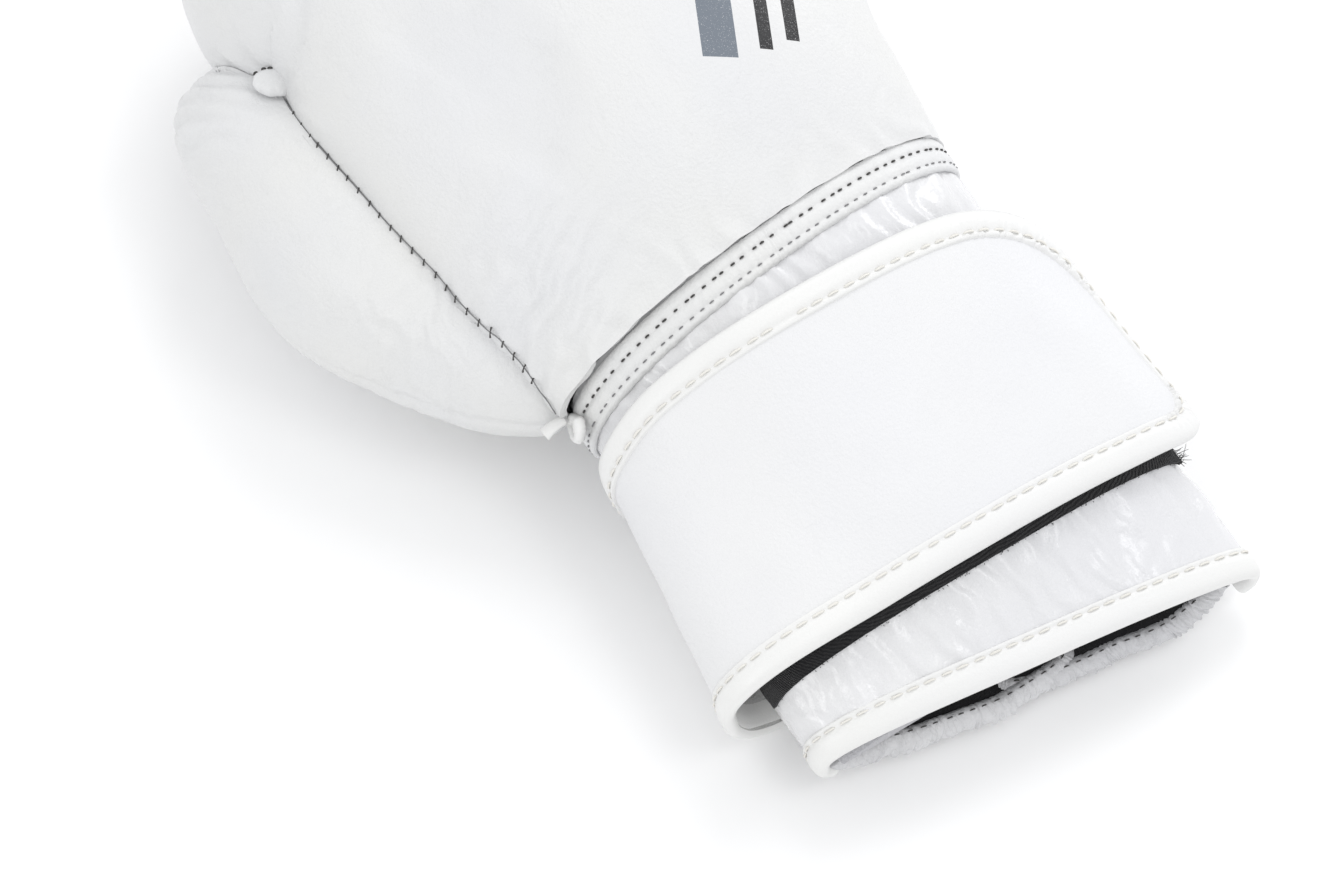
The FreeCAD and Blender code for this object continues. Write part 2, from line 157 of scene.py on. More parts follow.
# ---- curves and meshes
def profileAt(rows, place):
    # each column of the rows as a smooth curve through them
    table = np.array(rows, float)
    at = np.clip(np.asarray(place, float), table[0, 0], table[-1, 0])
    span = np.clip(np.searchsorted(table[:, 0], at, side="right") - 1, 0, len(table) - 2)
    start, end = table[span, 0], table[span + 1, 0]
    t = (at - start) / (end - start)
    columns = []
    for column in range(1, table.shape[1]):
        values = table[:, column]
        slopes = np.gradient(values, table[:, 0])
        rise, fall = slopes[span] * (end - start), slopes[span + 1] * (end - start)
        columns.append((2 * t**3 - 3 * t**2 + 1) * values[span] + (t**3 - 2 * t**2 + t) * rise
                       + (3 * t**2 - 2 * t**3) * values[span + 1] + (t**3 - t**2) * fall)
    return columns


def ringPoint(rows, place, turn, out=0.0):
    # a point on the outline: turn 0 is the little finger's side, 90 the back, 180 the thumb side
    middle, half, top, bottom, square = profileAt(rows, place)
    c, s = np.cos(turn), np.sin(turn)
    x = middle + (half + out) * np.sign(c) * np.abs(c) ** (2.0 / square)
    z = (top + bottom) / 2 + ((top - bottom) / 2 + out) * np.sign(s) * np.abs(s) ** (2.0 / square)
    return x, z


def smoothLine(points, count):
    # a smooth line through a few points, evenly spaced
    table = np.array(points, float)
    rows = np.column_stack([np.arange(len(table)), table])
    fine = np.stack(profileAt(rows, np.linspace(0, len(table) - 1, 40 * len(table))), 1)
    return evenly(fine, count)


def stepsAlong(points):
    # the distance from a line's start to each of its points
    return np.r_[0, np.cumsum(np.linalg.norm(np.diff(points, axis=0), axis=1))]


def pointsAt(at, steps, line):
    return np.stack([np.interp(at, steps, column) for column in line.T], -1)


def unit(vectors):
    return vectors / np.maximum(np.linalg.norm(vectors, axis=-1, keepdims=True), 1e-9)


def calm(values, times):
    # each value drawn towards its neighbours, the two ends held
    for again in range(times):
        values[1:-1] = (values[:-2] + values[1:-1] + values[2:]) / 3
    return values


def evenly(points, count):
    steps = stepsAlong(points)
    return pointsAt(np.linspace(0, steps[-1], count), steps, points)


def meshFrom(name, verts, faces):
    mesh = bpy.data.meshes.new(name)
    mesh.from_pydata([tuple(v) for v in np.asarray(verts, float) * 0.001], [], faces)
    mesh.update()
    piece = bpy.data.objects.new(name, mesh)
    bpy.context.scene.collection.objects.link(piece)
    mesh.polygons.foreach_set("use_smooth", np.ones(len(mesh.polygons), bool))
    return piece


def gridFaces(rows, columns, wrap=False):
    faces = []
    for r in range(rows - 1):
        for c in range(columns if wrap else columns - 1):
            low, d = r * columns, (c + 1) % columns
            faces.append((low + c, low + d, low + columns + d, low + columns + c))
    return faces


def coordsOf(piece):
    flat = np.empty(len(piece.data.vertices) * 3)
    piece.data.vertices.foreach_get("co", flat)
    return flat.reshape(-1, 3) * 1000.0


def setCoords(piece, coords):
    piece.data.vertices.foreach_set("co", (np.asarray(coords) * 0.001).ravel())
    piece.data.update()


def normalsOf(piece):
    flat = np.empty(len(piece.data.vertices) * 3)
    piece.data.vertex_normals.foreach_get("vector", flat)
    return flat.reshape(-1, 3)


def outwards(piece):
    # every face turned to face out
    form = bmesh.new()
    form.from_mesh(piece.data)
    bmesh.ops.recalc_face_normals(form, faces=form.faces)
    form.to_mesh(piece.data)
    form.free()
    return piece


def applyModifiers(piece):
    graph = bpy.context.evaluated_depsgraph_get()
    graph.update()
    made = bpy.data.meshes.new_from_object(piece.evaluated_get(graph))
    old = piece.data
    piece.modifiers.clear()
    piece.data = made
    bpy.data.meshes.remove(old)
    made.polygons.foreach_set("use_smooth", np.ones(len(made.polygons), bool))
    return piece


def modify(piece, kind, **settings):
    step = piece.modifiers.new(kind.lower(), kind)
    for name, value in settings.items():
        setattr(step, name, value)
    return applyModifiers(piece)


def roundOff(piece, levels=1):
    modify(piece, "SUBSURF", levels=levels, render_levels=levels)


def solidify(piece, wall):
    # the leather's thickness, laid on inside the skin
    modify(piece, "SOLIDIFY", thickness=wall * 0.001, offset=-1, use_rim=True)
    piece.data.set_sharp_from_angle(angle=math.radians(52))
    return piece


def endFans(rings, turns, start):
    # the faces that close both ends of a run of rings, round two last points
    faces = []
    for c in range(turns):
        d = (c + 1) % turns
        faces.append((start, d, c))
        faces.append((start + 1, (rings - 1) * turns + c, (rings - 1) * turns + d))
    return faces


def closedLoft(name, rows, fromY, rings, turns=72):
    # a closed skin through the rows, with a flat start and a rounded end
    first = rows[0][0]
    places = first + (rows[-1][0] - first) * np.sin(np.linspace(0, math.pi / 2, rings)) ** 1.15
    turn = np.linspace(0, 2 * math.pi, turns, endpoint=False)
    verts = []
    for place in places:
        x, z = ringPoint(rows, np.full(turns, place), turn)
        verts.append(np.stack([x, np.full(turns, fromY + place), z], 1))
    flat = np.vstack(verts + [np.mean(verts[0], 0), np.mean(verts[-1], 0)])
    faces = [face[::-1] for face in gridFaces(rings, turns, True)]
    return outwards(meshFrom(name, flat, faces + endFans(rings, turns, len(flat) - 2)))


def softNoise(points, size, seed):
    # soft noise at each point, from a few random waves
    made = np.random.default_rng(seed)
    total = np.zeros(len(points))
    for octave in range(3):
        for wave in range(6):
            way = made.normal(size=points.shape[1])
            way *= (2 * math.pi / size) * 1.7**octave / np.linalg.norm(way)
            total += np.sin(points @ way + made.uniform(0, 6.28)) / (1.7**octave * 3.2)
    return total


def rampTo(value, low, high):
    t = np.clip((value - low) / (high - low), 0, 1)
    return t * t * (3 - 2 * t)


def dip(distance, depth, width):
    # a soft hollow, deepest where the distance is none
    return depth * np.exp(-(distance / width) ** 2)


def around(points, place, reach):
    return np.exp(-np.sum((points - np.array(place)) ** 2, 1) / (2 * reach**2))


def gatherLines(angle, count, seed):
    # sharp creases between soft ridges, unevenly spaced
    wander = softNoise(angle[:, None] * 10, 22.0, seed)
    return 1.0 - 2.0 * np.abs(np.sin(angle * count / 2 + wander)) ** 0.6


def lineDistance(points, line):
    best = np.full(len(points), 1e9)
    for point in line:
        best = np.minimum(best, np.sum((points - point) ** 2, 1))
    return np.sqrt(best)


def bisect(piece, place, normal):
    # keeps what lies on the normal's side of a plane
    form = bmesh.new()
    form.from_mesh(piece.data)
    bmesh.ops.bisect_plane(form, geom=form.verts[:] + form.edges[:] + form.faces[:], dist=1e-7,
                           plane_co=Vector(place) * 0.001, plane_no=normal, clear_inner=True)
    form.to_mesh(piece.data)
    form.free()
    piece.data.update()


def copyOf(piece, name):
    made = bpy.data.objects.new(name, piece.data.copy())
    bpy.context.scene.collection.objects.link(made)
    return made


def cutWith(piece, cutter):
    # the piece less the cutter
    modify(piece, "BOOLEAN", object=cutter, operation="DIFFERENCE", solver="EXACT")
    bpy.data.objects.remove(cutter)
    return piece


def treeOf(*pieces):
    # one search tree over several pieces, in millimetres
    verts, faces = [], []
    for piece in pieces:
        base = len(verts)
        verts += [tuple(v) for v in coordsOf(piece)]
        faces += [tuple(base + i for i in p.vertices) for p in piece.data.polygons]
    return BVHTree.FromPolygons(verts, faces)


def seatLine(tree, line, lift):
    # a line let down onto a surface: its points and the surface's directions there
    points, ways = [], []
    for point in line:
        spot, normal = tree.find_nearest(Vector(point))[:2]
        if normal.z < 0:
            normal = -normal
        points.append(np.array(spot) + np.array(normal) * lift)
        ways.append(np.array(normal))
    return np.array(points), unit(calm(np.array(ways), 4))


def tubeAlong(line, radii, ways, sides=8, flat=1.0):
    # verts and faces of a closed tube along a line
    tangent = unit(np.gradient(line, axis=0))
    side = unit(np.cross(tangent, ways))
    up = np.cross(side, tangent)
    turn = np.linspace(0, 2 * math.pi, sides, endpoint=False)
    radii = np.broadcast_to(np.asarray(radii, float), len(line))[:, None, None]
    verts = (line[:, None] + radii * (np.cos(turn)[None, :, None] * side[:, None]
                                      + flat * np.sin(turn)[None, :, None] * up[:, None]))
    verts = np.vstack([verts.reshape(-1, 3), line[0], line[-1]])
    return verts, gridFaces(len(line), sides, True) + endFans(len(line), sides, len(verts) - 2)


def gather(name, parts):
    # one piece from many small ones
    verts, faces, base = [], [], 0
    for partVerts, partFaces in parts:
        verts.append(partVerts)
        faces += [tuple(base + i for i in face) for face in partFaces]
        base += len(partVerts)
    return outwards(meshFrom(name, np.vstack(verts), faces))


def stitchRow(name, line, ways, stitch, seed):
    # a row of thread stitches, each dipping into the leather at its ends
    made = np.random.default_rng(seed)
    steps, parts = stepsAlong(line), []
    t = np.linspace(-0.5, 0.5, 9)
    arch = stitch["rise"] * (1 - (2 * np.abs(t)) ** 2.2) - stitch["rise"] * 0.55
    radii = stitch["radius"] * (0.35 + 0.65 * np.sqrt(np.maximum(1 - (2 * t) ** 4, 0)))
    for start in np.arange(stitch["pitch"] * 0.5, steps[-1] - stitch["length"], stitch["pitch"]):
        middle = start + made.normal() * stitch["uneven"]
        at = middle + stitch["length"] * (1 + made.normal() * 0.06) * (t + 0.5)
        way = unit(pointsAt(at, steps, ways))
        spot = pointsAt(at, steps, line) + way * arch[:, None]
        parts.append(tubeAlong(spot, radii, way, 7))
    return gather(name, parts)


# ---- finishes
def nodeOf(tree, kind, values=None, **settings):
    made = tree.nodes.new(kind)
    for name, value in settings.items():
        setattr(made, name, value)
    for socket, value in (values or {}).items():
        made.inputs[socket].default_value = value
    return made


def mathOf(tree, operation, first, second=None, third=None):
    # a Math node fed with sockets or plain numbers
    made = nodeOf(tree, "ShaderNodeMath", operation=operation)
    for slot, source in enumerate((first, second, third)):
        if source is None:
            continue
        if isinstance(source, (int, float)):
            made.inputs[slot].default_value = source
        else:
            tree.links.new(source, made.inputs[slot])
    return made.outputs[0]


def mixOf(tree, factor, first, second, blend="MIX"):
    made = nodeOf(tree, "ShaderNodeMix", data_type="RGBA", blend_type=blend)
    for slot, source in ((0, factor), (6, first), (7, second)):
        if isinstance(source, tuple):
            made.inputs[slot].default_value = (*source, 1)
        elif isinstance(source, (int, float)):
            made.inputs[slot].default_value = source
        else:
            tree.links.new(source, made.inputs[slot])
    return made.outputs[2]


def newFinish(name, roughness, **shader):
    finish = bpy.data.materials.new(name)
    finish.use_nodes = True
    tree = finish.node_tree
    tree.nodes.clear()
    out = nodeOf(tree, "ShaderNodeOutputMaterial")
    body = nodeOf(tree, "ShaderNodeBsdfPrincipled", {"Roughness": roughness})
    tree.links.new(body.outputs[0], out.inputs[0])
    for socket, value in shader.items():
        body.inputs[socket.replace("_", " ")].default_value = value
    return finish, tree, body, nodeOf(tree, "ShaderNodeTexCoord").outputs["Object"]


def noiseOf(tree, spot, scale, detail=3.0, distortion=0.0, stretch=None):
    if stretch:
        mapping = nodeOf(tree, "ShaderNodeMapping", {"Scale": stretch})
        tree.links.new(spot, mapping.inputs["Vector"])
        spot = mapping.outputs[0]
    made = nodeOf(tree, "ShaderNodeTexNoise", {"Scale": scale, "Detail": detail,
                                               "Distortion": distortion})
    tree.links.new(spot, made.inputs["Vector"])
    return made.outputs["Fac"]


def rangeOf(tree, source, fromMin, fromMax, toMin=0.0, toMax=1.0):
    made = nodeOf(tree, "ShaderNodeMapRange", {"From Min": fromMin, "From Max": fromMax,
                                               "To Min": toMin, "To Max": toMax})
    tree.links.new(source, made.inputs["Value"])
    return made.outputs[0]


def bumpInto(tree, body, height, depth, distance):
    bump = nodeOf(tree, "ShaderNodeBump", {"Strength": depth, "Distance": distance})
    tree.links.new(height, bump.inputs["Height"])
    tree.links.new(bump.outputs[0], body.inputs["Normal"])


def leatherFinish(name, look):
    finish, tree, body, spot = newFinish(name, look["gloss"][0], Coat_Weight=look["coat"],
                                         Coat_Roughness=look["coatRoughness"],
                                         Specular_IOR_Level=0.5)
    # grain: two sizes of pebble with fine pores between, and stretched creases over them
    pebbles = []
    for scale, smooth in ((look["grain"], 0.6), (look["grain"] * 2.3, 0.5)):
        cell = nodeOf(tree, "ShaderNodeTexVoronoi", {"Scale": scale, "Smoothness": smooth},
                      feature="SMOOTH_F1")
        tree.links.new(spot, cell.inputs["Vector"])
        pebbles.append(cell.outputs["Distance"])
    pores = noiseOf(tree, spot, look["grain"] * 4.0)
    creases = noiseOf(tree, spot, look["creaseSize"], 5.0, 0.9, look["creaseRun"])
    broad = noiseOf(tree, spot, 24.0)
    patch = noiseOf(tree, spot, 9.0, 2.0)
    line = mathOf(tree, "ABSOLUTE", mathOf(tree, "SUBTRACT", creases, 0.5))
    fold = mathOf(tree, "MULTIPLY", mathOf(tree, "MINIMUM", line, 0.06), look["creaseDepth"] * 8)
    height = mathOf(tree, "MULTIPLY_ADD", pebbles[1], 0.5, pebbles[0])
    height = mathOf(tree, "MULTIPLY_ADD", pores, 0.35, height)
    height = mathOf(tree, "ADD", height, fold)
    bumpInto(tree, body, height, look["depth"], 0.0006)
    # the hide's colour drifts, is cooler in patches and a little darker in pores; the darkening
    # along the creases is painted shade
    color = mixOf(tree, rangeOf(tree, broad, 0.32, 0.68), look["base"], look["tint"])
    color = mixOf(tree, rangeOf(tree, patch, 0.4, 0.7, 0.0, 0.6), color, look["cool"])
    pore = rangeOf(tree, pores, 0.25, 0.55, 0.95, 1.0)
    # painted shade: the colour darkens along the creases by creaseShade
    crease = rangeOf(tree, line, 0.0, 0.018, 1.0 - look["creaseShade"], 1.0)
    color = mixOf(tree, 1.0, color, mathOf(tree, "MULTIPLY", pore, crease), "MULTIPLY")
    roughness = rangeOf(tree, creases, 0.3, 0.7, *look["gloss"])
    for mark in look.get("stripes", []):
        # a printed stripe, rubbed here and there
        x, y, turn, wide, long, paint = mark
        place = nodeOf(tree, "ShaderNodeMapping", {"Location": (x * 0.001, y * 0.001, 0.0),
                                                   "Rotation": (0.0, 0.0, math.radians(turn))},
                       vector_type="TEXTURE")
        tree.links.new(spot, place.inputs["Vector"])
        axes = nodeOf(tree, "ShaderNodeSeparateXYZ")
        tree.links.new(place.outputs[0], axes.inputs[0])
        across = mathOf(tree, "ABSOLUTE", axes.outputs[0])
        along = mathOf(tree, "ABSOLUTE", axes.outputs[1])
        level = mathOf(tree, "GREATER_THAN", axes.outputs[2], 0.06)
        mask = mathOf(tree, "MULTIPLY", mathOf(tree, "LESS_THAN", across, wide * 0.0005),
                      mathOf(tree, "LESS_THAN", along, long * 0.0005))
        mask = mathOf(tree, "MULTIPLY", mask, level)
        rub = mathOf(tree, "MULTIPLY", mask, mathOf(tree, "GREATER_THAN", pores, 0.33))
        color = mixOf(tree, rub, color, paint)
        keep = mathOf(tree, "SUBTRACT", 1.0, rub)
        roughness = mathOf(tree, "MULTIPLY_ADD", rub, 0.42,
                           mathOf(tree, "MULTIPLY", roughness, keep))
    tree.links.new(color, body.inputs["Base Color"])
    tree.links.new(roughness, body.inputs["Roughness"])
    return finish


def clothFinish(name, base, light, pitch, roughness, depth):
    # crossed yarns with fluff over them
    finish, tree, body, spot = newFinish(name, roughness, Specular_IOR_Level=0.25,
                                         Sheen_Weight=0.2, Sheen_Roughness=0.5)
    waves = []
    for direction in ("X", "Y", "Z"):
        wave = nodeOf(tree, "ShaderNodeTexWave", {"Scale": pitch, "Distortion": 1.2,
                                                  "Detail": 2.0}, bands_direction=direction)
        tree.links.new(spot, wave.inputs["Vector"])
        waves.append(wave.outputs["Fac"])
    fluff = noiseOf(tree, spot, pitch * 3.0, 4.0)
    yarns = mathOf(tree, "MULTIPLY", mathOf(tree, "MAXIMUM", waves[0], waves[1]), waves[2])
    bumpInto(tree, body, mathOf(tree, "ADD", yarns, fluff), depth, 0.0004)
    tree.links.new(mixOf(tree, fluff, base, light), body.inputs["Base Color"])
    return finish


slate, ink = (0.16, 0.185, 0.22), (0.02, 0.02, 0.022)
leathers = {
    "fist": {"base": (0.735, 0.735, 0.72), "tint": (0.715, 0.72, 0.725),
        "cool": (0.71, 0.715, 0.745), "gloss": (0.34, 0.50), "coat": 0.06, "coatRoughness": 0.3,
        "grain": 1050.0, "depth": 0.22, "creaseSize": 120.0, "creaseRun": (1.0, 0.5, 0.8),
        "creaseDepth": 0.5, "creaseShade": 0.02},
    "cuff": {"base": (0.75, 0.75, 0.762), "tint": (0.762, 0.762, 0.762),
        "cool": (0.67, 0.675, 0.71), "gloss": (0.15, 0.30), "coat": 0.35, "coatRoughness": 0.12,
        "grain": 900.0, "depth": 0.14, "creaseSize": 210.0, "creaseRun": (1.0, 0.35, 0.8),
        "creaseDepth": 0.9, "creaseShade": 0.02},
    "strap": {"base": (0.775, 0.775, 0.775), "tint": (0.755, 0.757, 0.765),
        "cool": (0.75, 0.755, 0.78), "gloss": (0.38, 0.50), "coat": 0.05, "coatRoughness": 0.3,
        "grain": 1150.0, "depth": 0.18, "creaseSize": 90.0, "creaseRun": (1.0, 0.6, 0.8),
        "creaseDepth": 0.25, "creaseShade": 0.01},
    "binding": {"base": (0.80, 0.80, 0.785), "tint": (0.785, 0.785, 0.775),
        "cool": (0.78, 0.78, 0.785), "gloss": (0.32, 0.44), "coat": 0.06, "coatRoughness": 0.3,
        "grain": 1500.0, "depth": 0.10, "creaseSize": 160.0, "creaseRun": (1.0, 1.0, 1.0),
        "creaseDepth": 0.3, "creaseShade": 0.01},
    # the rolled rim is the flaps' cuff leather painted darker, as painted shade inside the mouth,
    # with deep painted shade in its creases
    "rim": {"base": (0.56, 0.56, 0.575), "tint": (0.64, 0.64, 0.65),
        "cool": (0.58, 0.585, 0.61), "gloss": (0.26, 0.42), "coat": 0.15, "coatRoughness": 0.2,
        "grain": 900.0, "depth": 0.30, "creaseSize": 260.0, "creaseRun": (1.0, 0.3, 0.6),
        "creaseDepth": 2.0, "creaseShade": 0.12},
    "backing": {"base": (0.55, 0.55, 0.54), "tint": (0.60, 0.60, 0.58),
        "cool": (0.56, 0.56, 0.57), "gloss": (0.7, 0.85), "coat": 0.0, "coatRoughness": 0.4,
        "grain": 1200.0, "depth": 0.45, "creaseSize": 200.0, "creaseRun": (1.0, 0.5, 1.0),
        "creaseDepth": 1.0, "creaseShade": 0.06},
}
# plain stripes on the back of the hand: x, y, turn, width, length, colour
leathers["fist"]["stripes"] = [(41.0, 33.0, -24.0, 9.0, 52.0, slate),
                               (53.0, 30.5, -24.0, 3.4, 52.0, ink),
                               (59.5, 27.5, -24.0, 3.4, 46.0, ink)]
fistLeather, cuffLeather, strapLeather, bindingLeather, rimLeather, backingLeather = (
    leatherFinish(name, leathers[key]) for name, key in (
        ("glove_white_leather", "fist"), ("cuff_gloss_leather", "cuff"),
        ("strap_satin_leather", "strap"), ("binding_smooth_leather", "binding"),
        ("mouth_gathered_leather", "rim"), ("strap_backing_suede", "backing")))
# dark yarn, light yarn, yarns to the metre, roughness, depth
liningCloth, loopCloth, hookCloth, foamFinish, creamThread, greyThread, darkThread = (
    clothFinish(*cloth) for cloth in (
        ("black_lining_cloth", (0.008, 0.008, 0.009), (0.02, 0.02, 0.022), 420.0, 0.85, 0.6),
        ("black_loop_pile", (0.004, 0.004, 0.005), (0.018, 0.018, 0.02), 900.0, 0.9, 1.0),
        ("black_hook_tape", (0.008, 0.008, 0.009), (0.035, 0.035, 0.036), 700.0, 0.6, 1.0),
        ("padding_foam", (0.42, 0.42, 0.44), (0.52, 0.52, 0.54), 500.0, 0.9, 0.5),
        ("cream_thread", (0.76, 0.74, 0.69), (0.84, 0.825, 0.78), 2600.0, 0.7, 0.2),
        ("grey_thread", (0.22, 0.22, 0.225), (0.36, 0.36, 0.37), 2600.0, 0.65, 0.6),
        ("dark_thread", (0.035, 0.033, 0.032), (0.09, 0.085, 0.08), 2600.0, 0.7, 0.6)))


def place(piece, finish, slot, body=None, nodes=(), fill=None):
    # gives a piece its finish, attaches it to the body it rides on and hides the nodes it stands
    # for; its slot is not used
    piece.data.materials.clear()
    piece.data.materials.append(finish)
    if body:
        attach(piece, body)
    if nodes:
        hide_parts(*nodes)
    return piece


# the hidden solids that stay as they are packed
for node, finish in (("cuff_foam", foamFinish), ("grip_bar", foamFinish),
                     ("thumb_lining", liningCloth)):
    for spot in frame["nodes"][node].material_slots:
        spot.material = finish

# ---- fist
print("fist")
seamLine = smoothLine(thumbSeam, 160)


def foldY(x):
    return wristY + fistShape["foldBack"] + fistShape["foldSlant"] * (x - 19.0)


def puff(piece, pressure, cap, shrink):
    # the stuffed form swells as cloth under a little pressure, held within a cap
    start = coordsOf(piece)
    step = piece.modifiers.new("cloth", "CLOTH")
    cloth = step.settings
    cloth.quality = 5
    cloth.mass = 0.3
    cloth.tension_stiffness = cloth.compression_stiffness = 20
    cloth.shear_stiffness, cloth.bending_stiffness = 8, 1.2
    cloth.use_pressure = True
    cloth.uniform_pressure_force = pressure
    cloth.shrink_min = shrink
    cloth.effector_weights.gravity = 0
    step.collision_settings.use_collision = False
    scene = bpy.context.scene
    for number in range(1, 15):
        scene.frame_set(number)
    applyModifiers(piece)
    moved = coordsOf(piece) - start
    moved -= np.mean(moved, 0)
    far = np.linalg.norm(moved, axis=1)[:, None]
    setCoords(piece, start + moved * np.minimum(1, cap / np.maximum(far, 1e-6)))
    scene.frame_set(1)


fistFolds = {
    "stuffing": (0.35, 70.0),  # height, size
    "wristWrinkles": (0.45, 9.0),  # height, how far from the wrist
    "sideWrinkles": 0.55,
    "valley": (0.7, 6.0),  # depth and width of the hollow along the thumb's seam
    "tabPull": (3.4, 9.5),
    "gathers": {"height": 0.55, "count": 11, "from": 15, "width": 10.0},
    "overCrease": (0.9, 3.2),
    "sideSeam": (0.8, 1.5),
}


def sculptFist(points, normals):
    # seen from the wrist: stuffing, wrinkles off the fold, gathers at the tab, the sewn valley
    lift = fistFolds["stuffing"][0] * softNoise(points, fistFolds["stuffing"][1], 11)
    behind = points[:, 1] - wristY
    upper = rampTo(points[:, 2], 20, 50)
    long = np.sin(points[:, 0] * 0.55 + 2.4 * softNoise(points, 26.0, 5))
    height, reach = fistFolds["wristWrinkles"]
    lift += height * np.exp(-behind / reach) * upper * long
    side = np.exp(-((points[:, 0] + 38) ** 2) / 380) * np.exp(-((behind - 12) ** 2) / 420) * upper
    lift += fistFolds["sideWrinkles"] * side * np.sin(points[:, 1] * 0.95 - points[:, 0] * 0.35
                                                      + 1.8 * softNoise(points, 18.0, 6))
    # the valley along the thumb's seam
    lift -= dip(lineDistance(points, seamLine), *fistFolds["valley"])
    # the tab pulls the leather in and gathers it
    tab = points - tabPlace
    reach = np.linalg.norm(tab, axis=1)
    lift -= dip(reach, *fistFolds["tabPull"])
    gathers = fistFolds["gathers"]
    lines = gatherLines(np.arctan2(tab[:, 2], tab[:, 1]), gathers["count"], 31)
    lift += gathers["height"] * lines * dip(reach - gathers["from"], 1, gathers["width"])
    # the crease that runs from the tab over the knuckles' thumb side
    over = smoothLine([(-58, 72, 72), (-54, 74, 82), (-50, 80, 89), (-43, 92, 97)], 40)
    lift -= dip(lineDistance(points, over), *fistFolds["overCrease"])
    # the side seam between the back of the hand and the palm
    lift -= dip(points[:, 2] - fistShape["seamHeight"], *fistFolds["sideSeam"])
    return points + normals * lift[:, None]


fist = closedLoft("fist_form", fistShape["rows"], wristY, 66)
modify(fist, "REMESH", mode="VOXEL", voxel_size=fistShape["voxel"] * 0.001)
modify(fist, "SMOOTH", iterations=4, factor=0.5)
puff(fist, *fistShape["swell"])
roundOff(fist, 2)
at = coordsOf(fist)
# the shoulder beside the thumb is fuller near the wrist and drawn in near the tab
shoulder = np.exp(-(lineDistance(at, seamLine + [2, 0, 2]) / 15.0) ** 2) * rampTo(at[:, 2], 22, 45)
full = np.interp(at[:, 1], [-30, 0, 30, 55, 75], [3.0, 4.2, 3.6, 1.2, -1.5])
setCoords(fist, at + normalsOf(fist) * (full * shoulder)[:, None])
setCoords(fist, sculptFist(coordsOf(fist), normalsOf(fist)))
fistForm = copyOf(fist, "fist_clearance")
at = coordsOf(fistForm)
setCoords(fistForm, at + normalsOf(fistForm) * thumbShape["play"])
bisect(fist, (0, wristY + 0.8, 0), (0, 1, 0))
at = coordsOf(fist)
# the open end runs along the fold, and the leather turns in there
start = np.exp(-(at[:, 1] - wristY) / fistShape["foldReach"])
at[:, 1] += (foldY(at[:, 0]) - wristY) * np.clip(start, 0, 1)
setCoords(fist, at)
palm = copyOf(fist, "palm_panel_leather")
bisect(palm, (0, 0, fistShape["seamHeight"]), (0, 0, -1))
fist.name = "back_panel_leather"
bisect(fist, (0, 0, fistShape["seamHeight"]), (0, 0, 1))
for piece, node in ((fist, "back_panel"), (palm, "palm_panel")):
    solidify(piece, fistShape["leather"])
    place(piece, fistLeather, "white_leather", "glove", [node], fistShape["fill"])

# ---- thumb
print("thumb")
thumb = closedLoft("thumb_form", thumbShape["rows"], wristY + thumbShape["fromWrist"], 46)
modify(thumb, "REMESH", mode="VOXEL", voxel_size=thumbShape["voxel"] * 0.001)
modify(thumb, "SMOOTH", iterations=3, factor=0.5)
puff(thumb, *thumbShape["swell"])
roundOff(thumb, 2)
thumbFolds = {
    "stuffing": (0.3, 55.0),
    "tipGathers": {"place": (-78, 86, 55), "reach": 11.0, "height": 0.8},
    "lowWrinkles": 0.42,
    "tabPull": (2.6, 8.0),
    "sideSeam": (0.7, 1.4),
    "valley": (0.8, 5.0),
}
at, ways = coordsOf(thumb), normalsOf(thumb)
lift = thumbFolds["stuffing"][0] * softNoise(at, thumbFolds["stuffing"][1], 41)
# diagonal gathers over the tip, and short creases low on the outside
gathers = thumbFolds["tipGathers"]
lift += gathers["height"] * around(at, gathers["place"], gathers["reach"]) * np.sin(
    (at[:, 0] * 0.75 + at[:, 1] * 0.62) * 1.25 + softNoise(at, 20.0, 42))
low = np.exp(-((at[:, 1] + 4) / 17) ** 2) * rampTo(at[:, 2], 20, 40) * rampTo(-at[:, 0], 44, 60)
lift += thumbFolds["lowWrinkles"] * low * np.sin(at[:, 0] * 0.9 + 2.0 * softNoise(at, 16.0, 43))
lift -= dip(np.linalg.norm(at - tabPlace, axis=1), *thumbFolds["tabPull"])
lift -= dip(at[:, 2] - thumbShape["seamHeight"], *thumbFolds["sideSeam"])
lift -= dip(lineDistance(at, seamLine), *thumbFolds["valley"])
setCoords(thumb, at + ways * lift[:, None])
outer, inner = treeOf(thumb), treeOf(fistForm)
cutWith(thumb, fistForm)
thumbInner = copyOf(thumb, "thumb_inner_leather")
bisect(thumbInner, (0, 0, thumbShape["seamHeight"]), (0, 0, -1))
thumb.name = "thumb_outer_leather"
# the seam is where the two meet on top, step by step
at = coordsOf(thumb)
both = np.array([max((Vector(p) - outer.find_nearest(Vector(p))[0]).length,
                     (Vector(p) - inner.find_nearest(Vector(p))[0]).length) for p in at])
at = at[both < 0.05]
crease = []
for point in seamLine:
    level = at[np.abs(at[:, 1] - point[1]) < 0.8]
    level = level[np.abs(level[:, 0] - point[0]) < 16.0]
    if len(level):
        top = level[level[:, 2] > level[:, 2].max() - 0.6]
        crease.append(top.mean(0))
crease = calm(np.array(crease), 8)
bisect(thumb, (0, 0, thumbShape["seamHeight"]), (0, 0, 1))
for piece, node in ((thumb, "thumb_outer_panel"), (thumbInner, "thumb_inner_panel")):
    solidify(piece, thumbShape["leather"])
    place(piece, fistLeather, "white_leather", "thumb", [node], thumbShape["fill"])

# ---- padding inside the leather
print("padding")


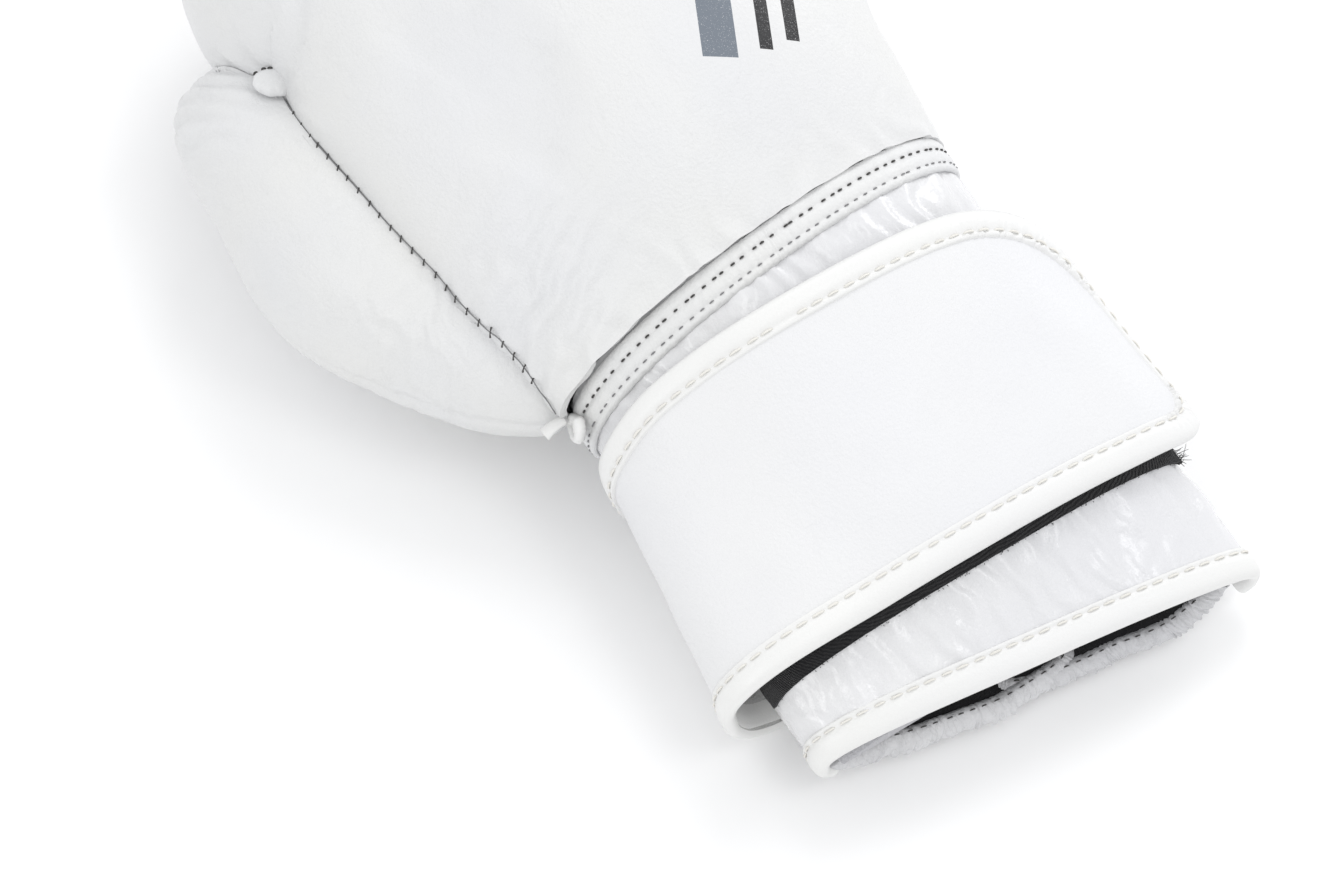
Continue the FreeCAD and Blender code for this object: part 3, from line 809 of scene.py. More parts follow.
def padding(name, shape, fromY, inset, side, body, nodes):
    # a soft core under the leather, cut at the side seam where side is 1 or -1
    core = closedLoft(name, shape["rows"], fromY, 30, 48)
    setCoords(core, coordsOf(core) - normalsOf(core) * inset)
    bisect(core, (0, fromY + 8, 0), (0, 1, 0))
    if side:
        bisect(core, (0, 0, shape["seamHeight"] + 0.5 * side), (0, 0, side))
    at = coordsOf(core)
    setCoords(core, at + normalsOf(core) * (0.4 * softNoise(at, 30.0, 3))[:, None])
    solidify(core, 6.0)
    place(core, foamFinish, "padding_foam", body, nodes, 0.6)


padding("knuckle_padding", fistShape, wristY, 9.0, 1, "glove",
        ["knuckle_foam", "knuckle_liner_foam"])
padding("palm_padding", fistShape, wristY, 9.0, -1, "glove", ["palm_foam", "finger_foam"])
padding("thumb_padding", thumbShape, wristY + thumbShape["fromWrist"], 7.0, 0, "thumb",
        ["thumb_foam"])

# ---- seam and tab
print("seam and tab")
seamStitch = {"pitch": 4.1, "length": 1.9, "radius": 0.22, "rise": 0.55, "uneven": 0.25}
seamRide = {"way": (-0.35, -0.1, 0.93), "above": 14.0, "steps": 6, "lift": 0.12, "thread": 0.17}
# the thread lies on whichever of fist and thumb stands higher, smoothly
line = evenly(crease, 300)
seamWay = unit(np.array(seamRide["way"]))
ways = np.repeat(seamWay[None], len(line), 0)
seamTree = treeOf(fist, thumb)
heights = []
for point in line:
    hit = seamTree.ray_cast(Vector(point + seamWay * seamRide["above"]), Vector(-seamWay))[0]
    heights.append(0.0 if hit is None else float(np.dot(np.array(hit) - point, seamWay)))
heights = np.array(heights)
for again in range(seamRide["steps"]):
    heights = np.maximum(heights, np.r_[heights[1:], heights[-1]])
    heights = np.maximum(heights, np.r_[heights[0], heights[:-1]])
line = line + ways * (calm(heights, seamRide["steps"] * 2)[:, None] + seamRide["lift"])
place(gather("thumb_seam_thread", [tubeAlong(line, seamRide["thread"], ways)]), greyThread,
      "white_leather", "glove")


def crossStitches(name, line, ways, stitch):
    # short threads laid slantwise across a seam
    made = np.random.default_rng(12)
    run, parts = stepsAlong(line), []
    t = np.linspace(-1, 1, 9)[:, None]
    radii = stitch["radius"] * (0.8 + 0.5 * np.abs(t[:, 0]) ** 3)
    for middle in np.arange(stitch["pitch"] * 1.6, run[-1] - 9.0, stitch["pitch"]):
        at = middle + made.normal() * stitch["uneven"]
        spot, way = pointsAt(at, run, line), pointsAt(at, run, ways)
        along = unit(pointsAt(at + 1.0, run, line) - spot)
        half = stitch["length"] / 2 * (1 + made.normal() * 0.08)
        over = spot + (np.cross(along, way) + along * 0.55) * t * half + way * (
            stitch["rise"] * (1 - np.abs(t) ** 2.5) - 0.18)
        parts.append(tubeAlong(over, radii, np.repeat(way[None], 9, 0)))
    return gather(name, parts)


place(crossStitches("thumb_seam_stitches", line, ways, seamStitch), darkThread,
      "white_leather", "glove")

tabShape = {"long": 5.6, "wide": 3.5, "thick": 1.7, "turn": 28.0}
turns = np.linspace(0, 2 * math.pi, 40, endpoint=False)
tabVerts, tilt = [], math.radians(tabShape["turn"])
for level in np.linspace(-1, 1, 21):
    size = math.sqrt(max(1 - level**2, 0.0)) ** 0.8
    u = tabShape["long"] * size * np.cos(turns)
    v = tabShape["wide"] * size * np.sin(turns)
    pinch = 0.22 * np.cos(turns * 9 + 1.3) * size  # nine small puckers round the tab
    tabVerts.append(np.stack([tabPlace[0] + u * math.cos(tilt) + v * math.sin(tilt),
                              tabPlace[1] - u * math.sin(tilt) + v * math.cos(tilt) + pinch,
                              np.full(40, tabPlace[2]) + 1.6 + level * tabShape["thick"]
                              + 0.35 * v - 0.10 * u], 1))
tab = meshFrom("thumb_tab_leather", np.vstack(tabVerts), gridFaces(21, 40, True))
roundOff(outwards(tab))
place(tab, fistLeather, "white_leather", "thumb", ["thumb_lock_tab"])
tabTree = treeOf(tab)
edge = [(tabPlace[0] + u, tabPlace[1] + 3.0 + v, tabPlace[2] + 3.2)
        for u, v in ((-5.2, 0.6), (-3.2, 1.1), (-0.5, 0.2), (2.0, -1.3), (4.0, -3.4))]
line, ways = seatLine(tabTree, smoothLine(edge, 60), 0.12)
tabStitch = {"pitch": 2.1, "length": 1.3, "radius": 0.3, "rise": 0.35, "uneven": 0.12}
place(stitchRow("thumb_tab_stitches", line, ways, tabStitch, 4), darkThread, "white_leather",
      "thumb")

# ---- cuff
print("cuff")


def makeMap(refPlace, surface):
    # a flat layout of the surface, (millimetres round the ring, y), for edges and stitches,
    # and the distance round the ring to a turn in degrees
    turn = np.linspace(-math.pi, 3 * math.pi, 4001)
    x, z = ringPoint(cuffShape["rows"], np.full(turn.shape, refPlace), turn)
    run = np.r_[0, np.cumsum(np.hypot(np.diff(x), np.diff(z)))]
    run -= np.interp(0.0, turn, run)

    def toRun(degrees):
        return float(np.interp(math.radians(degrees), turn, run))

    def toSpace(flat, lift):
        flat = np.asarray(flat, float)
        return surface(np.interp(flat[..., 0], run, turn), flat[..., 1], lift)
    return toSpace, toRun


def cuffPoint(turn, y, out=0.0):
    turn, y, out = np.broadcast_arrays(np.asarray(turn, float), y, out)
    x, z = ringPoint(cuffShape["rows"], y - mouthY, turn, out)
    return np.stack([x, y, np.maximum(z, 0.4)], -1)


cuffMap, cuffRun = makeMap(10.0, cuffPoint)


def mouthEdge(flat):
    # the back's mouth edge, at a distance round the cuff
    x = cuffMap(np.stack([flat, np.full(np.shape(flat), mouthY + 6)], -1), 0.0)[..., 0]
    return mouthY + cuffShape["mouthBack"] + cuffShape["mouthSlant"] * (x + 6.0)


def inwardWays(path):
    tangent = unit(np.gradient(path, axis=0))
    return np.stack([-tangent[:, 1], tangent[:, 0]], 1)


def sweepEdge(name, path, toSpace, section, side=1.0, ruffle=None):
    # a closed section of (in from the edge, up from the surface), carried along an edge
    path = np.asarray(path, float)
    ways = inwardWays(path) * side
    count = len(section)
    into, up = (np.array(column, float)[None, :] * np.ones((len(path), 1))
                for column in zip(*section))
    if ruffle:
        into, up = ruffle(path, into, up)
    flat = path[:, None, :] + ways[:, None, :] * into[..., None]
    verts = toSpace(flat, up).reshape(-1, 3)
    faces = gridFaces(len(path), count, True)
    faces.append(tuple(range(count)))
    faces.append(tuple(reversed(range((len(path) - 1) * count, len(path) * count))))
    made = outwards(meshFrom(name, verts, faces))
    made.data.set_sharp_from_angle(angle=math.radians(65))
    return made


def edgeLine(path, toSpace, inside, lift, side=1.0):
    # a line on a swept edge, with the directions out of the surface, for stitches
    flat = np.asarray(path, float)
    flat = flat + inwardWays(flat) * side * inside
    line = toSpace(flat, np.full(len(flat), lift))
    return line, unit(toSpace(flat, np.full(len(flat), lift + 0.5)) - line)


bindingShape = {"wide": 6.9, "wall": 1.0, "stitchIn": 5.3}
bindingStitch = {"pitch": 4.6, "length": 3.2, "radius": 0.30, "rise": 0.5, "uneven": 0.1}
threadRow = {"pitch": 3.1, "length": 1.3, "radius": 0.27, "rise": 0.25, "uneven": 0.4}


def bindingSection(top, bottom):
    # leather folded over an edge: its flat, the sunk stitch line and the round edge
    wide, wall, sunk = bindingShape["wide"], bindingShape["wall"], bindingShape["stitchIn"]
    return [(wide, top - 0.3), (wide - 0.1, top + 0.55), (sunk + 0.9, top + 0.8),
            (sunk + 0.3, top + 0.55), (sunk, top + 0.42), (sunk - 0.3, top + 0.55),
            (sunk - 1.0, top + 0.95), (3.2, top + wall + 0.2), (1.2, top + wall),
            (-0.1, top + wall - 0.4), (-0.8, top - 0.4), (-1.0, (top + bottom) / 2),
            (-0.8, bottom + 0.4), (-0.1, bottom - 0.4), (1.4, bottom - 0.8),
            (sunk, bottom - 0.7), (wide, bottom - 0.5), (wide, bottom + 0.4)]


leatherWall = cuffShape["leather"]
seamLow, seamHigh = cuffRun(-14), cuffRun(194)
columns, rows = 230, 120
run = np.linspace(seamLow, seamHigh, columns)[None, :] * np.ones((rows, 1))
share = np.linspace(0, 1, rows)[:, None] * np.ones((1, columns))
xs = cuffMap(np.stack([run, np.full(run.shape, wristY - 8)], -1), 0.0)[..., 0]
fromY = foldY(xs) + 3.0
flat = np.stack([run, fromY + share * (mouthEdge(run) - fromY)], -1)
skin = cuffMap(flat, 0.0)
near = skin.reshape(-1, 3)
lift = 0.4 * softNoise(near * [1, 0.6, 1], 30.0, 21)
across = np.sin(near[:, 0] * 0.75 + near[:, 1] * 0.12 + 2.6 * softNoise(near, 30.0, 22))
lift += 0.38 * across * (np.exp(-((near[:, 1] - wristY + 12) / 12) ** 2)
                         + np.exp(-((near[:, 1] - mouthY - 14) / 11) ** 2))
fine = np.sin(near[:, 0] * 1.7 + near[:, 1] * 0.25 + 3.0 * softNoise(near, 14.0, 23))
lift += 0.10 * fine * (0.35 + np.clip(softNoise(near, 30.0, 24), 0, 1))
cuff = meshFrom("cuff_back_leather", cuffMap(flat.reshape(-1, 2), lift), gridFaces(rows, columns))
solidify(outwards(cuff), leatherWall)
place(cuff, cuffLeather, "cuff_leather", "glove", ["cuff_back"], cuffShape["fill"])

# the mouth's binding goes over the back's edge and down both corners
edgeRun = np.linspace(cuffRun(-22), cuffRun(203), 300)
edgeY = mouthEdge(edgeRun)
mouthPath = np.stack([edgeRun, edgeY], 1)
mouthBinding = sweepEdge("cuff_binding_leather", mouthPath, cuffMap, bindingSection(0.2, -2.2))
roundOff(mouthBinding)
place(mouthBinding, bindingLeather, "binding_leather", "glove", ["cuff_binding"])
line, ways = edgeLine(mouthPath, cuffMap, bindingShape["stitchIn"], 0.95)
place(stitchRow("cuff_binding_stitches", line, ways, bindingStitch, 2), creamThread,
      "binding_leather", "glove")

# ---- palm flaps
print("palm flaps")
flapShape = {
    # each flap's edge: turn round the cuff, y
    "thumbEdge": [(186, -139.5), (196, -140.0), (215, -141.5), (238, -144.6), (254, -147.2),
                  (266, -149.4), (272.5, -148.6), (275.5, -144.0), (276.0, -136.0),
                  (276.0, -122.0)],
    "fingerEdge": [(266, -122.0), (265.0, -136.0), (266.5, -145.0), (271, -150.2), (282, -152.4),
                   (296, -154.4), (316, -153.8), (336, -151.2), (350, -151.0)],
    "roll": [(6.2, -2.6), (5.6, -4.6), (4.9, -6.0), (3.8, -6.7), (2.5, -6.6), (1.1, -5.8),
             (0.1, -4.5), (-0.4, -2.9), (0.3, -1.4), (1.9, -0.4), (5.0, 0.0), (9.0, 0.1),
             (12.0, -0.1), (12.0, -1.5)],
    "pitch": 3.6,
    "depth": 0.85,
    "calm": 16.0,
}
rollStitch = {"pitch": 3.4, "length": 1.5, "radius": 0.19, "rise": 0.25, "uneven": 0.3}


def palmEdge(run):
    # the palm side's mouth edge, at a distance round the cuff
    marks = [(t, y) for t, y in flapShape["thumbEdge"][:6]] + \
        [(t, y) for t, y in flapShape["fingerEdge"][4:]]
    turns, levels = zip(*marks)
    return np.interp(run, [cuffRun(t) for t in turns], levels)


def ruffleOf(seed):
    depth = flapShape["depth"]

    def ruffle(path, into, up):
        # gathers run across the rolled edge, deepest over its face
        steps = stepsAlong(path)
        wander = 1.9 * softNoise(steps[:, None], 17.0, seed)
        ridge = 1 - 2 * np.abs(np.sin(math.pi * steps / flapShape["pitch"] + wander)) ** 0.7
        second = np.sin(2 * math.pi * steps / 2.1 + 2 * wander)
        # shallower towards both ends
        ends = np.clip(np.minimum(steps, steps[-1] - steps) / flapShape["calm"], 0.2, 1.0)
        ridge, second = ridge * ends, second * ends
        swell = softNoise(steps[:, None], 40.0, seed + 1)
        face = np.exp(-((np.arange(into.shape[1]) - 6.0) / 3.4) ** 2)[None, :]
        into = into - depth * face * (0.55 * ridge + 0.2 * second)[:, None] \
            - 0.5 * face * swell[:, None]
        up = up + depth * 0.35 * face * ridge[:, None]
        return into, up
    return ruffle


for name, edge, low, high, seed, drop in (
        ("thumb_flap", flapShape["thumbEdge"], 184.0, 277.0, 51, -0.9),
        ("finger_flap", flapShape["fingerEdge"], 266.0, 356.0, 61, 0.0)):
    path = smoothLine([(cuffRun(t), y) for t, y in edge], 420)
    roll = [(a, h + drop) for a, h in flapShape["roll"]]
    rim = sweepEdge(name + "_rim_leather", path, cuffMap, roll, 1.0, ruffleOf(seed))
    roundOff(rim)
    # the rim's darker colour is painted shade inside the mouth
    place(rim, rimLeather, "cuff_leather", "glove")
    line, ways = edgeLine(path, cuffMap, 3.3, -6.8 + drop)
    place(stitchRow(name + "_rim_stitches", line, -ways, rollStitch, seed), darkThread,
          "cuff_leather", "glove")
    run = np.linspace(cuffRun(low), cuffRun(high), 90)
    share = np.linspace(0, 1, 60)
    back = palmEdge(run) + 5.0
    flat = np.stack([np.broadcast_to(run, (60, 90)),
                     (wristY - 4 - share[:, None] * (wristY - 4 - back[None, :]))], -1)
    skin = cuffMap(flat, 0.0).reshape(-1, 3)
    lift = 0.3 * softNoise(skin, 24.0, seed + 2) + drop * 0.6
    sheet = meshFrom(name + "_leather", cuffMap(flat.reshape(-1, 2), lift), gridFaces(60, 90))
    solidify(outwards(sheet), leatherWall)
    place(sheet, cuffLeather, "cuff_leather", "glove", [name])

# ---- lining
print("lining")
liningShape = {"inset": 7.5, "end": 30.0, "wall": 0.8, "rings": 60, "around": 120}
turns = np.linspace(0, 2 * math.pi, liningShape["around"] + 1)[:-1]
turnRun = np.array([cuffRun(t) for t in np.degrees(turns)])
upperSide = rampTo(np.sin(turns), -0.12, 0.12)
startY = upperSide * (mouthEdge(turnRun) + 1.6) + (1 - upperSide) * (palmEdge(turnRun) + 3.4)
endY = wristY + liningShape["end"]
liningVerts = []
for share in np.linspace(0, 1, liningShape["rings"]):
    close = math.sqrt(max(1 - max(share - 0.72, 0) ** 2 / 0.28**2, 0.0004))
    y = startY + share * (endY - startY)
    middleX, half, top, bottom, square = profileAt(cuffShape["rows"], y - mouthY)
    inset = liningShape["inset"] - 2.3 * (1 - upperSide) * (1 - share) ** 4
    x, z = ringPoint(cuffShape["rows"], y - mouthY, turns, -inset)
    centreZ = (top + bottom) / 2
    rumple = 0.3 * softNoise(np.stack([x, y, z], 1), 18.0, 71)
    liningVerts.append(np.stack([middleX + (x - middleX) * close, y,
                                 centreZ + (z - centreZ) * close + rumple], 1))
lining = outwards(meshFrom("hand_lining_cloth", np.vstack(liningVerts),
                           gridFaces(liningShape["rings"], liningShape["around"], True)))
solidify(lining, liningShape["wall"])
place(lining, liningCloth, "lining_cloth", "glove", ["hand_lining"])

# ---- welt
print("welt")
# the two rows of stitches: in from the edge, thread radius, finish, seed
weltRows = [(2.4, 0.27, darkThread, 83), (6.4, 0.2, greyThread, 84)]
weltRun = np.linspace(cuffRun(-14), cuffRun(192), 320)
weltX = cuffMap(np.stack([weltRun, np.full(320, wristY - 4)], -1), 0.0)[..., 0]
weltPath = np.stack([weltRun, foldY(weltX)], 1)
# in from the edge, up from the cuff; sunk under the two rows
weltSection = [(-1.5, 0.2), (-1.5, 1.3), (0.0, 1.7), (1.4, 1.75), (2.1, 1.35), (2.4, 1.2),
               (2.7, 1.35), (3.6, 1.8), (5.2, 1.75), (6.1, 1.4), (6.4, 1.25), (6.7, 1.4),
               (7.4, 1.5), (8.1, 1.2), (8.5, 0.5), (8.4, -0.3), (3.0, -0.4)]


def weltRuffle(path, into, up):
    noise = softNoise(path[:, :1], 9.0, 81) + 0.6 * softNoise(path[:, :1], 4.0, 82)
    return into + 0.10 * noise[:, None], up + 0.07 * noise[:, None]


welt = sweepEdge("wrist_welt_leather", weltPath, cuffMap, weltSection, -1.0, weltRuffle)
roundOff(welt)
place(welt, fistLeather, "welt_leather", "glove", ["wrist_welt"])
for number, (inside, radius, thread, seed) in enumerate(weltRows):
    line, ways = edgeLine(weltPath, cuffMap, inside, 1.45, -1.0)
    place(stitchRow(f"welt_stitches_{number + 1}", line, ways, {**threadRow, "radius": radius},
                    seed), thread, "welt_leather", "glove")

# the welt ends beside the thumb in a curl of piping and a small cut end
curlShape = {"place": (-41.4, -38.0, 43.5), "start": 1.2, "turns": 7.6, "size": 4.3, "close": 2.6}
t = np.linspace(0, 1, 60)
turn = curlShape["start"] + t * curlShape["turns"]
size = curlShape["size"] - curlShape["close"] * t
curlLine = np.array(curlShape["place"]) + np.stack(
    [-0.3 + 0.35 * size * np.cos(turn), size * np.cos(turn + 0.5), size * np.sin(turn)], 1)
curlWays = np.repeat(np.array([[-1.0, -0.2, 0.3]]), 60, 0)
curl = gather("piping_curl_leather", [tubeAlong(curlLine, 1.5 - 0.3 * t, curlWays, 14)])
at = coordsOf(curl)
setCoords(curl, at + normalsOf(curl) * (0.12 * np.sin(at.sum(1) * 3.1))[:, None])
place(curl, bindingLeather, "welt_leather", "glove", ["piping_curl"])
endLine = smoothLine([(-42.8, -34.6, 42.4), (-46.0, -34.4, 41.9), (-49.0, -34.7, 40.8)], 30)
endTab = gather("welt_end_leather", [tubeAlong(endLine, np.linspace(1.5, 2.2, 30),
                                               np.repeat([[0.0, 0.3, 1.0]], 30, 0), 12, 0.5)])
place(endTab, bindingLeather, "welt_leather", "glove")

# ---- strap
print("strap")
strapShape = {
    "wall": 3.0,
    "tapes": 4.2,
    "slack": 8.5,  # how far the fold stands off the cuff at its mouth side
    "endTurn": 7.0,
    "peelTurn": 98.0,  # where the piece over the fold gives way to the piece over the peel line
    "foldTurn": 180.0,
    "anchorTurn": 318.0,
    "upperCorner": 31.0,
    "lowerCorner": 15.0,
}


def strapPoint(turn, y, out=0.0):
    # the strap's inner face, clear of the tapes on the back and slack at the fold
    turn, y, out = np.broadcast_arrays(np.asarray(turn, float), y, out)
    share = np.clip((strapHigh - y) / (strapHigh - strapLow), -0.1, 1.1)
    room = 0.5 + strapShape["tapes"] * rampTo(np.sin(turn), -0.25, 0.35)
    fold = rampTo(-np.cos(turn), 0.3, 1.0)
    room = room + fold * (strapShape["slack"] * np.maximum(share, 0) ** 1.5 - 2.2 * (1 - share))
    room = room + rampTo(np.cos(turn), 0.55, 1.0) * rampTo(np.sin(turn), -0.5, 0.1) * 3.4
    x, z = ringPoint(cuffShape["rows"], y - mouthY, turn, room + out)
    # under the cuff the strap lies flat on whatever the glove stands on
    z = np.where(z < 6, np.maximum(z, 0.35 + np.clip(2.4 - out, 0, 6) * 0.55), z)
    return np.stack([x, y, z], -1)


strapMap, strapRun = makeMap(61.0, strapPoint)
endRun, peelRun, foldRun, anchorRun = (
    strapRun(strapShape[key]) for key in ("endTurn", "peelTurn", "foldTurn", "anchorTurn"))


def upperEdge(run):
    # the strap's upper edge draws back towards the mouth as it turns under
    return strapHigh + 0.2 - 9.5 * rampTo(run, foldRun - 30, foldRun + 26) \
        - 2.0 * rampTo(-run, -endRun - 40, -endRun)


def lowerEdge(run):
    return strapLow + 0.9 * np.sin((run - endRun) / 60.0) + 0.6


def cornerInset(down, radius):
    inside = np.clip(down, 0, radius)
    return radius - np.sqrt(np.maximum(radius**2 - (radius - inside) ** 2, 0))


def strapSheet(name, fromRun, toRun, columns, lift, wall, rounded, seed):
    # across: from the upper edge to the lower edge, denser near the edges
    across = (1 - np.cos(np.linspace(0, math.pi, 61))) / 2
    share = np.linspace(0, 1, columns)[None, :]
    top, low = upperEdge(fromRun), lowerEdge(fromRun)
    wide = float(top - low)
    inset = np.maximum(cornerInset(across * wide, strapShape["upperCorner"]),
                       cornerInset((1 - across) * wide, strapShape["lowerCorner"]))
    start = fromRun + (inset[:, None] if rounded else 0 * across[:, None])
    run = start + share * (toRun - start)
    y = upperEdge(run) + across[:, None] * (lowerEdge(run) - upperEdge(run))
    flat = np.stack([run, y], -1).reshape(-1, 2)
    points = strapMap(flat, lift)
    swell = 0.25 * softNoise(points, 46.0, seed)
    made = meshFrom(name, strapMap(flat, lift + swell), gridFaces(61, columns))
    return solidify(outwards(made), wall)


def edgePath(fromRun, toRun, rounded):
    # along the lower edge, round the free end and back along the upper edge
    low = np.linspace(toRun, fromRun + strapShape["lowerCorner"], 150)
    high = np.linspace(fromRun + strapShape["upperCorner"], toRun, 150)
    lower = np.stack([low, lowerEdge(low)], 1)
    upper = np.stack([high, upperEdge(high)], 1)
    if not rounded:
        return lower, upper
    turn = np.linspace(0, math.pi / 2, 40)[1:-1]
    radius = strapShape["lowerCorner"]
    first = np.stack([fromRun + radius - radius * np.sin(turn),
                      lower[-1, 1] + radius - radius * np.cos(turn)], 1)
    radius = strapShape["upperCorner"]
    second = np.stack([fromRun + radius - radius * np.cos(turn),
                       upper[0, 1] - radius + radius * np.sin(turn)], 1)
    return evenly(np.vstack([lower, first, second, upper]), 900)


def cornerGathers(path, into, up):
    # the binding puckers where it is eased round the corners
    tangent = np.gradient(path, axis=0)
    heading = np.unwrap(np.arctan2(tangent[:, 1], tangent[:, 0]))
    steps = stepsAlong(path)
    bend = np.abs(np.gradient(heading, steps))
    bend = np.convolve(bend, np.ones(25) / 25, mode="same")
    ripple = np.sin(2 * math.pi * steps / 2.6 + 1.5 * softNoise(steps[:, None], 9.0, 91))
    inner = np.array([1, 1, 1, 0.8, 0.5, 0.5, 0.4, 0.2] + [0.0] * (up.shape[1] - 8))[None, :]
    return into, up + np.minimum(bend * 9, 0.38)[:, None] * ripple[:, None] * inner


faceLift = strapShape["wall"]
section = bindingSection(faceLift, 0.6)


def strapPart(piece, finish, slot, over, nodes=()):
    # gives a piece its finish, hides the nodes it stands for and bakes its transform, the same
    # over the fold as over the peel line
    place(piece, finish, slot, None, nodes)
    if over == "fold":
        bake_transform(piece)
    else:
        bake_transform(piece)
    return piece


strapTop = strapSheet("strap_tip_leather", endRun, peelRun, 130, faceLift, 1.9, True, 92)
strapPart(strapTop, strapLeather, "strap_leather", "peel", ["strap_tip_face"])
strapUnder = strapSheet("strap_tip_backing_suede", endRun, peelRun, 90, 1.0, 0.8, True, 92)
strapPart(strapUnder, backingLeather, "strap_backing_leather", "peel", ["strap_tip_backing"])
strapFold = strapSheet("strap_fold_leather", peelRun, anchorRun, 200, faceLift, 1.9, False, 92)
strapPart(strapFold, strapLeather, "strap_leather", "fold", ["strap_face", "strap_sole"])
foldUnder = strapSheet("strap_backing_suede_piece", peelRun, anchorRun, 150, 1.0, 0.8, False, 92)
strapPart(foldUnder, backingLeather, "strap_backing_leather", "fold", ["strap_backing"])

tipPath = edgePath(endRun, peelRun, True)
binding = sweepEdge("strap_tip_binding_leather", tipPath, strapMap, section, -1.0, cornerGathers)
strapPart(binding, bindingLeather, "binding_leather", "peel", ["strap_tip_binding"])
line, ways = edgeLine(tipPath, strapMap, bindingShape["stitchIn"], faceLift + 0.75, -1.0)
strapPart(stitchRow("strap_tip_stitches", line, ways, bindingStitch, 5), creamThread,
          "binding_leather", "peel")
lower, upper = edgePath(peelRun - strapShape["lowerCorner"], anchorRun, False)
upper = upper[upper[:, 0] >= peelRun - 0.01]
upper = np.vstack([[peelRun, upperEdge(peelRun)], upper])
for name, path, nodes in (("lower", lower, ["strap_binding"]), ("upper", upper, [])):
    path = evenly(path, 520)
    binding = sweepEdge(f"strap_{name}_binding_leather", path, strapMap, section, -1.0)
    strapPart(binding, bindingLeather, "binding_leather", "fold", nodes)
    line, ways = edgeLine(path, strapMap, bindingShape["stitchIn"], faceLift + 0.75, -1.0)
    strapPart(stitchRow(f"strap_{name}_stitches", line, ways, bindingStitch, 6), creamThread,
              "binding_leather", "fold")

# ---- tapes
print("tapes")
loopShape = {"from": 13.0, "to": 176.0, "mouthSide": -121.6, "wristSide": -54.0, "pile": 1.7}


def tapeOf(name, toSpace, run, y, lift, rough, wall):
    # a flat tape on a surface; rough is depth, size and seed of its unevenness
    flat = np.stack(np.meshgrid(run, y), -1).reshape(-1, 2)
    lift = lift + rough[0] * softNoise(toSpace(flat, 0.0), *rough[1:])
    sheet = meshFrom(name, toSpace(flat, lift), gridFaces(len(y), len(run)))
    return solidify(outwards(sheet), wall)


run = np.linspace(cuffRun(loopShape["from"]), cuffRun(loopShape["to"]), 150)
y = np.linspace(loopShape["mouthSide"], loopShape["wristSide"], 40)
loop = tapeOf("loop_pile_tape", cuffMap, run, y, loopShape["pile"], (0.12, 5.0, 95), 1.3)
place(loop, loopCloth, "loop_tape", "glove", ["loop_patch"])

# loose fibres: a few long ones at the cut end, then short ones along the mouth side
endFibres, allFibres = 61, 150
made = np.random.default_rng(17)
fibres = []
for number in range(allFibres):
    atEnd = number < endFibres
    where = np.array([run[0] - made.uniform(-0.6, 0.4),
                      made.uniform(loopShape["mouthSide"] - 0.3, -108)])
    if not atEnd:
        where = np.array([made.uniform(run[0], run[-1]),
                          loopShape["mouthSide"] + made.uniform(-0.2, 0.3)])
    start = cuffMap(where[None], made.uniform(0.4, loopShape["pile"]))[0]
    way = unit(made.normal(size=3) + (np.array([1.4, -0.3, 0.3]) if atEnd else [0, -1.6, 0.3]))
    long = made.uniform(0.9, 2.6) if atEnd else made.uniform(0.2, 0.5)
    t = np.linspace(0, 1, 6)[:, None]
    strand = start + way * t * long + made.normal(size=3) * 0.35 * t**2 * long
    fibres.append(tubeAlong(strand, 0.13 * (1 - 0.6 * t[:, 0]),
                            np.repeat([[0.1, 0.2, 1.0]], 6, 0), 5))
place(gather("loop_pile_fibres", fibres), loopCloth, "loop_tape", "glove")

hookLow, hookHigh = nodeBox("hook_patch")
run, y = np.linspace(strapRun(38), strapRun(74), 50), np.linspace(hookLow[1], hookHigh[1], 50)
hook = tapeOf("hook_tape_patch", strapMap, run, y, 0.05, (0.1, 4.0, 96), 0.9)
place(hook, hookCloth, "hook_tape", "strap_tip", ["hook_patch"])

# nothing reaches below the floor the glove lies on
restHeight = 0.06
cadNames = {node.name for node in frame["nodes"].values()}
for piece in list(bpy.data.objects):
    if piece.type == "MESH" and piece.name not in cadNames:
        at = coordsOf(piece)
        at[:, 2] = np.maximum(at[:, 2], restHeight)
        setCoords(piece, at)

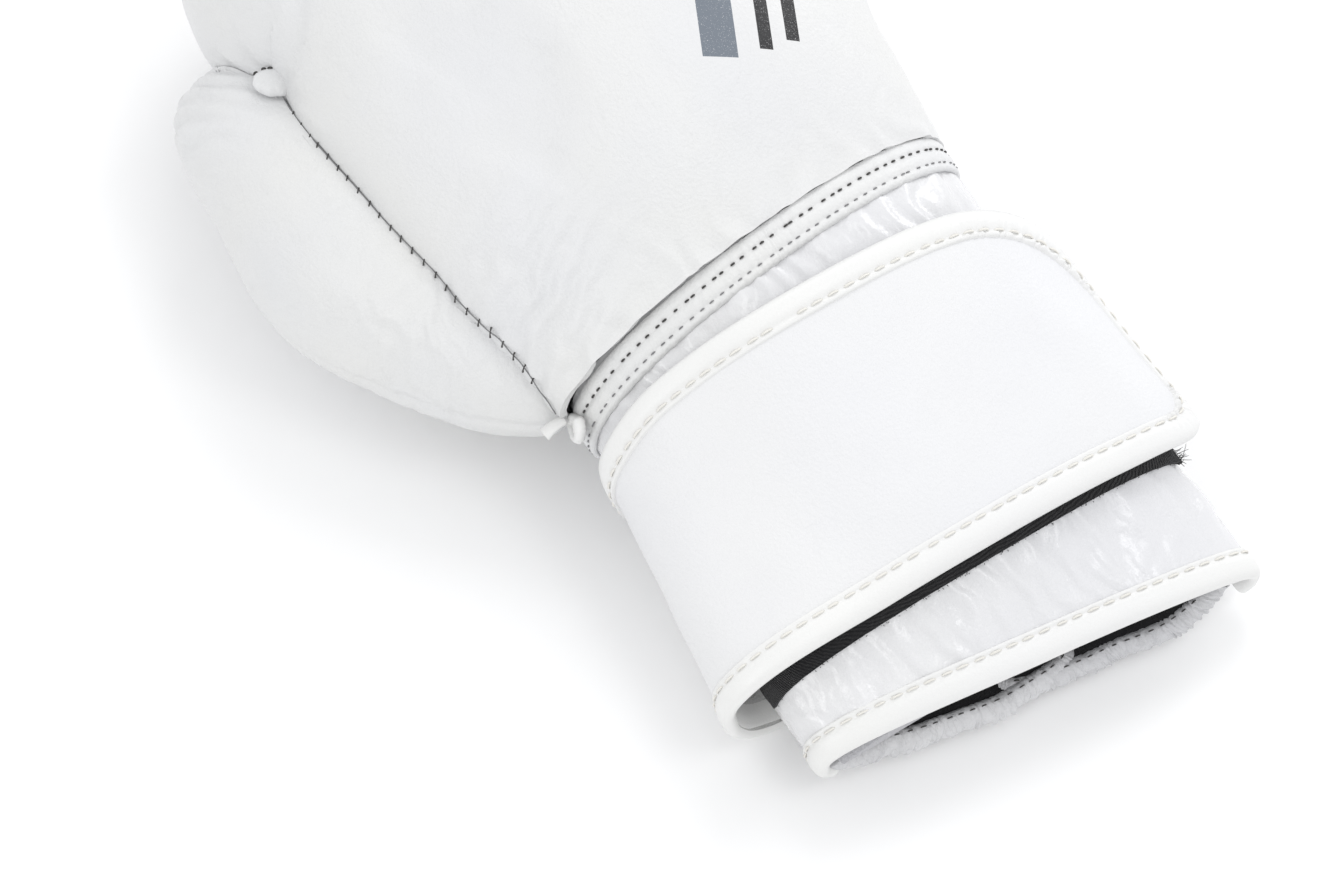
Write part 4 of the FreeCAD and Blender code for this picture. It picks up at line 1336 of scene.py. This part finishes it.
# ---- floor, light and camera
print("floor, light and camera")
floor = meshFrom("floor", [(-3000, -3000, 0), (3000, -3000, 0), (3000, 3000, 0), (-3000, 3000, 0)],
                 [(0, 1, 2, 3)])
floor.location.z = float(cadBox[0][2])
floorFinish, floorTree, floorBody, floorSpot = newFinish("pale_floor", 0.7)
mottle = noiseOf(floorTree, floorSpot, 6.0)
floorTree.links.new(mixOf(floorTree, mottle, (0.93, 0.93, 0.93), (0.95, 0.95, 0.95)),
                    floorBody.inputs["Base Color"])
floor.data.materials.append(floorFinish)

studio = {
    "world": 0.94,
    "worldColor": (0.985, 0.99, 1.0),
    # name, place, size, watts
    "lights": [("key_softbox", (0.55, 0.50, 1.05), 0.50, 2.7),
               ("left_softbox", (-0.70, -0.36, 0.78), 0.34, 1.25),
               ("right_softbox", (0.95, 0.18, 0.42), 0.30, 1.2),
               ("top_softbox", (0.30, -0.42, 1.05), 0.30, 1.0)],
}
world = bpy.data.worlds.new("studio")
bpy.context.scene.world = world
world.use_nodes = True
world.node_tree.nodes["Background"].inputs[0].default_value = (*studio["worldColor"], 1)
world.node_tree.nodes["Background"].inputs[1].default_value = studio["world"]
for name, spot, size, watts in studio["lights"]:
    lamp = bpy.data.lights.new(name, "AREA")
    lamp.shape = "RECTANGLE"
    lamp.size = lamp.size_y = size
    lamp.energy = watts
    holder = bpy.data.objects.new(name, lamp)
    bpy.context.scene.collection.objects.link(holder)
    holder.location = spot
    aim = Vector((0.0, -0.02, 0.04)) - Vector(spot)
    holder.rotation_euler = aim.to_track_quat("-Z", "Y").to_euler()

cameraSetup = {
    "azimuth": -32.0,
    "elevation": 66.0,
    "distance": 0.935,
    "lens": 100.0,
    "target": (-0.0236, -0.0545, 0.040),
}
eye = bpy.data.cameras.new("camera")
eye.lens = cameraSetup["lens"]
eye.sensor_width = 36.0
eye.clip_start = 0.01
camera = bpy.data.objects.new("camera", eye)
bpy.context.scene.collection.objects.link(camera)
azimuth, elevation = (math.radians(cameraSetup[key]) for key in ("azimuth", "elevation"))
back = Vector((math.sin(azimuth) * math.cos(elevation), -math.cos(azimuth) * math.cos(elevation),
               math.sin(elevation)))
camera.location = Vector(cameraSetup["target"]) + back * cameraSetup["distance"]
camera.rotation_euler = back.to_track_quat("Z", "Y").to_euler()
bpy.context.scene.camera = camera
bpy.context.scene.view_settings.view_transform = "Standard"
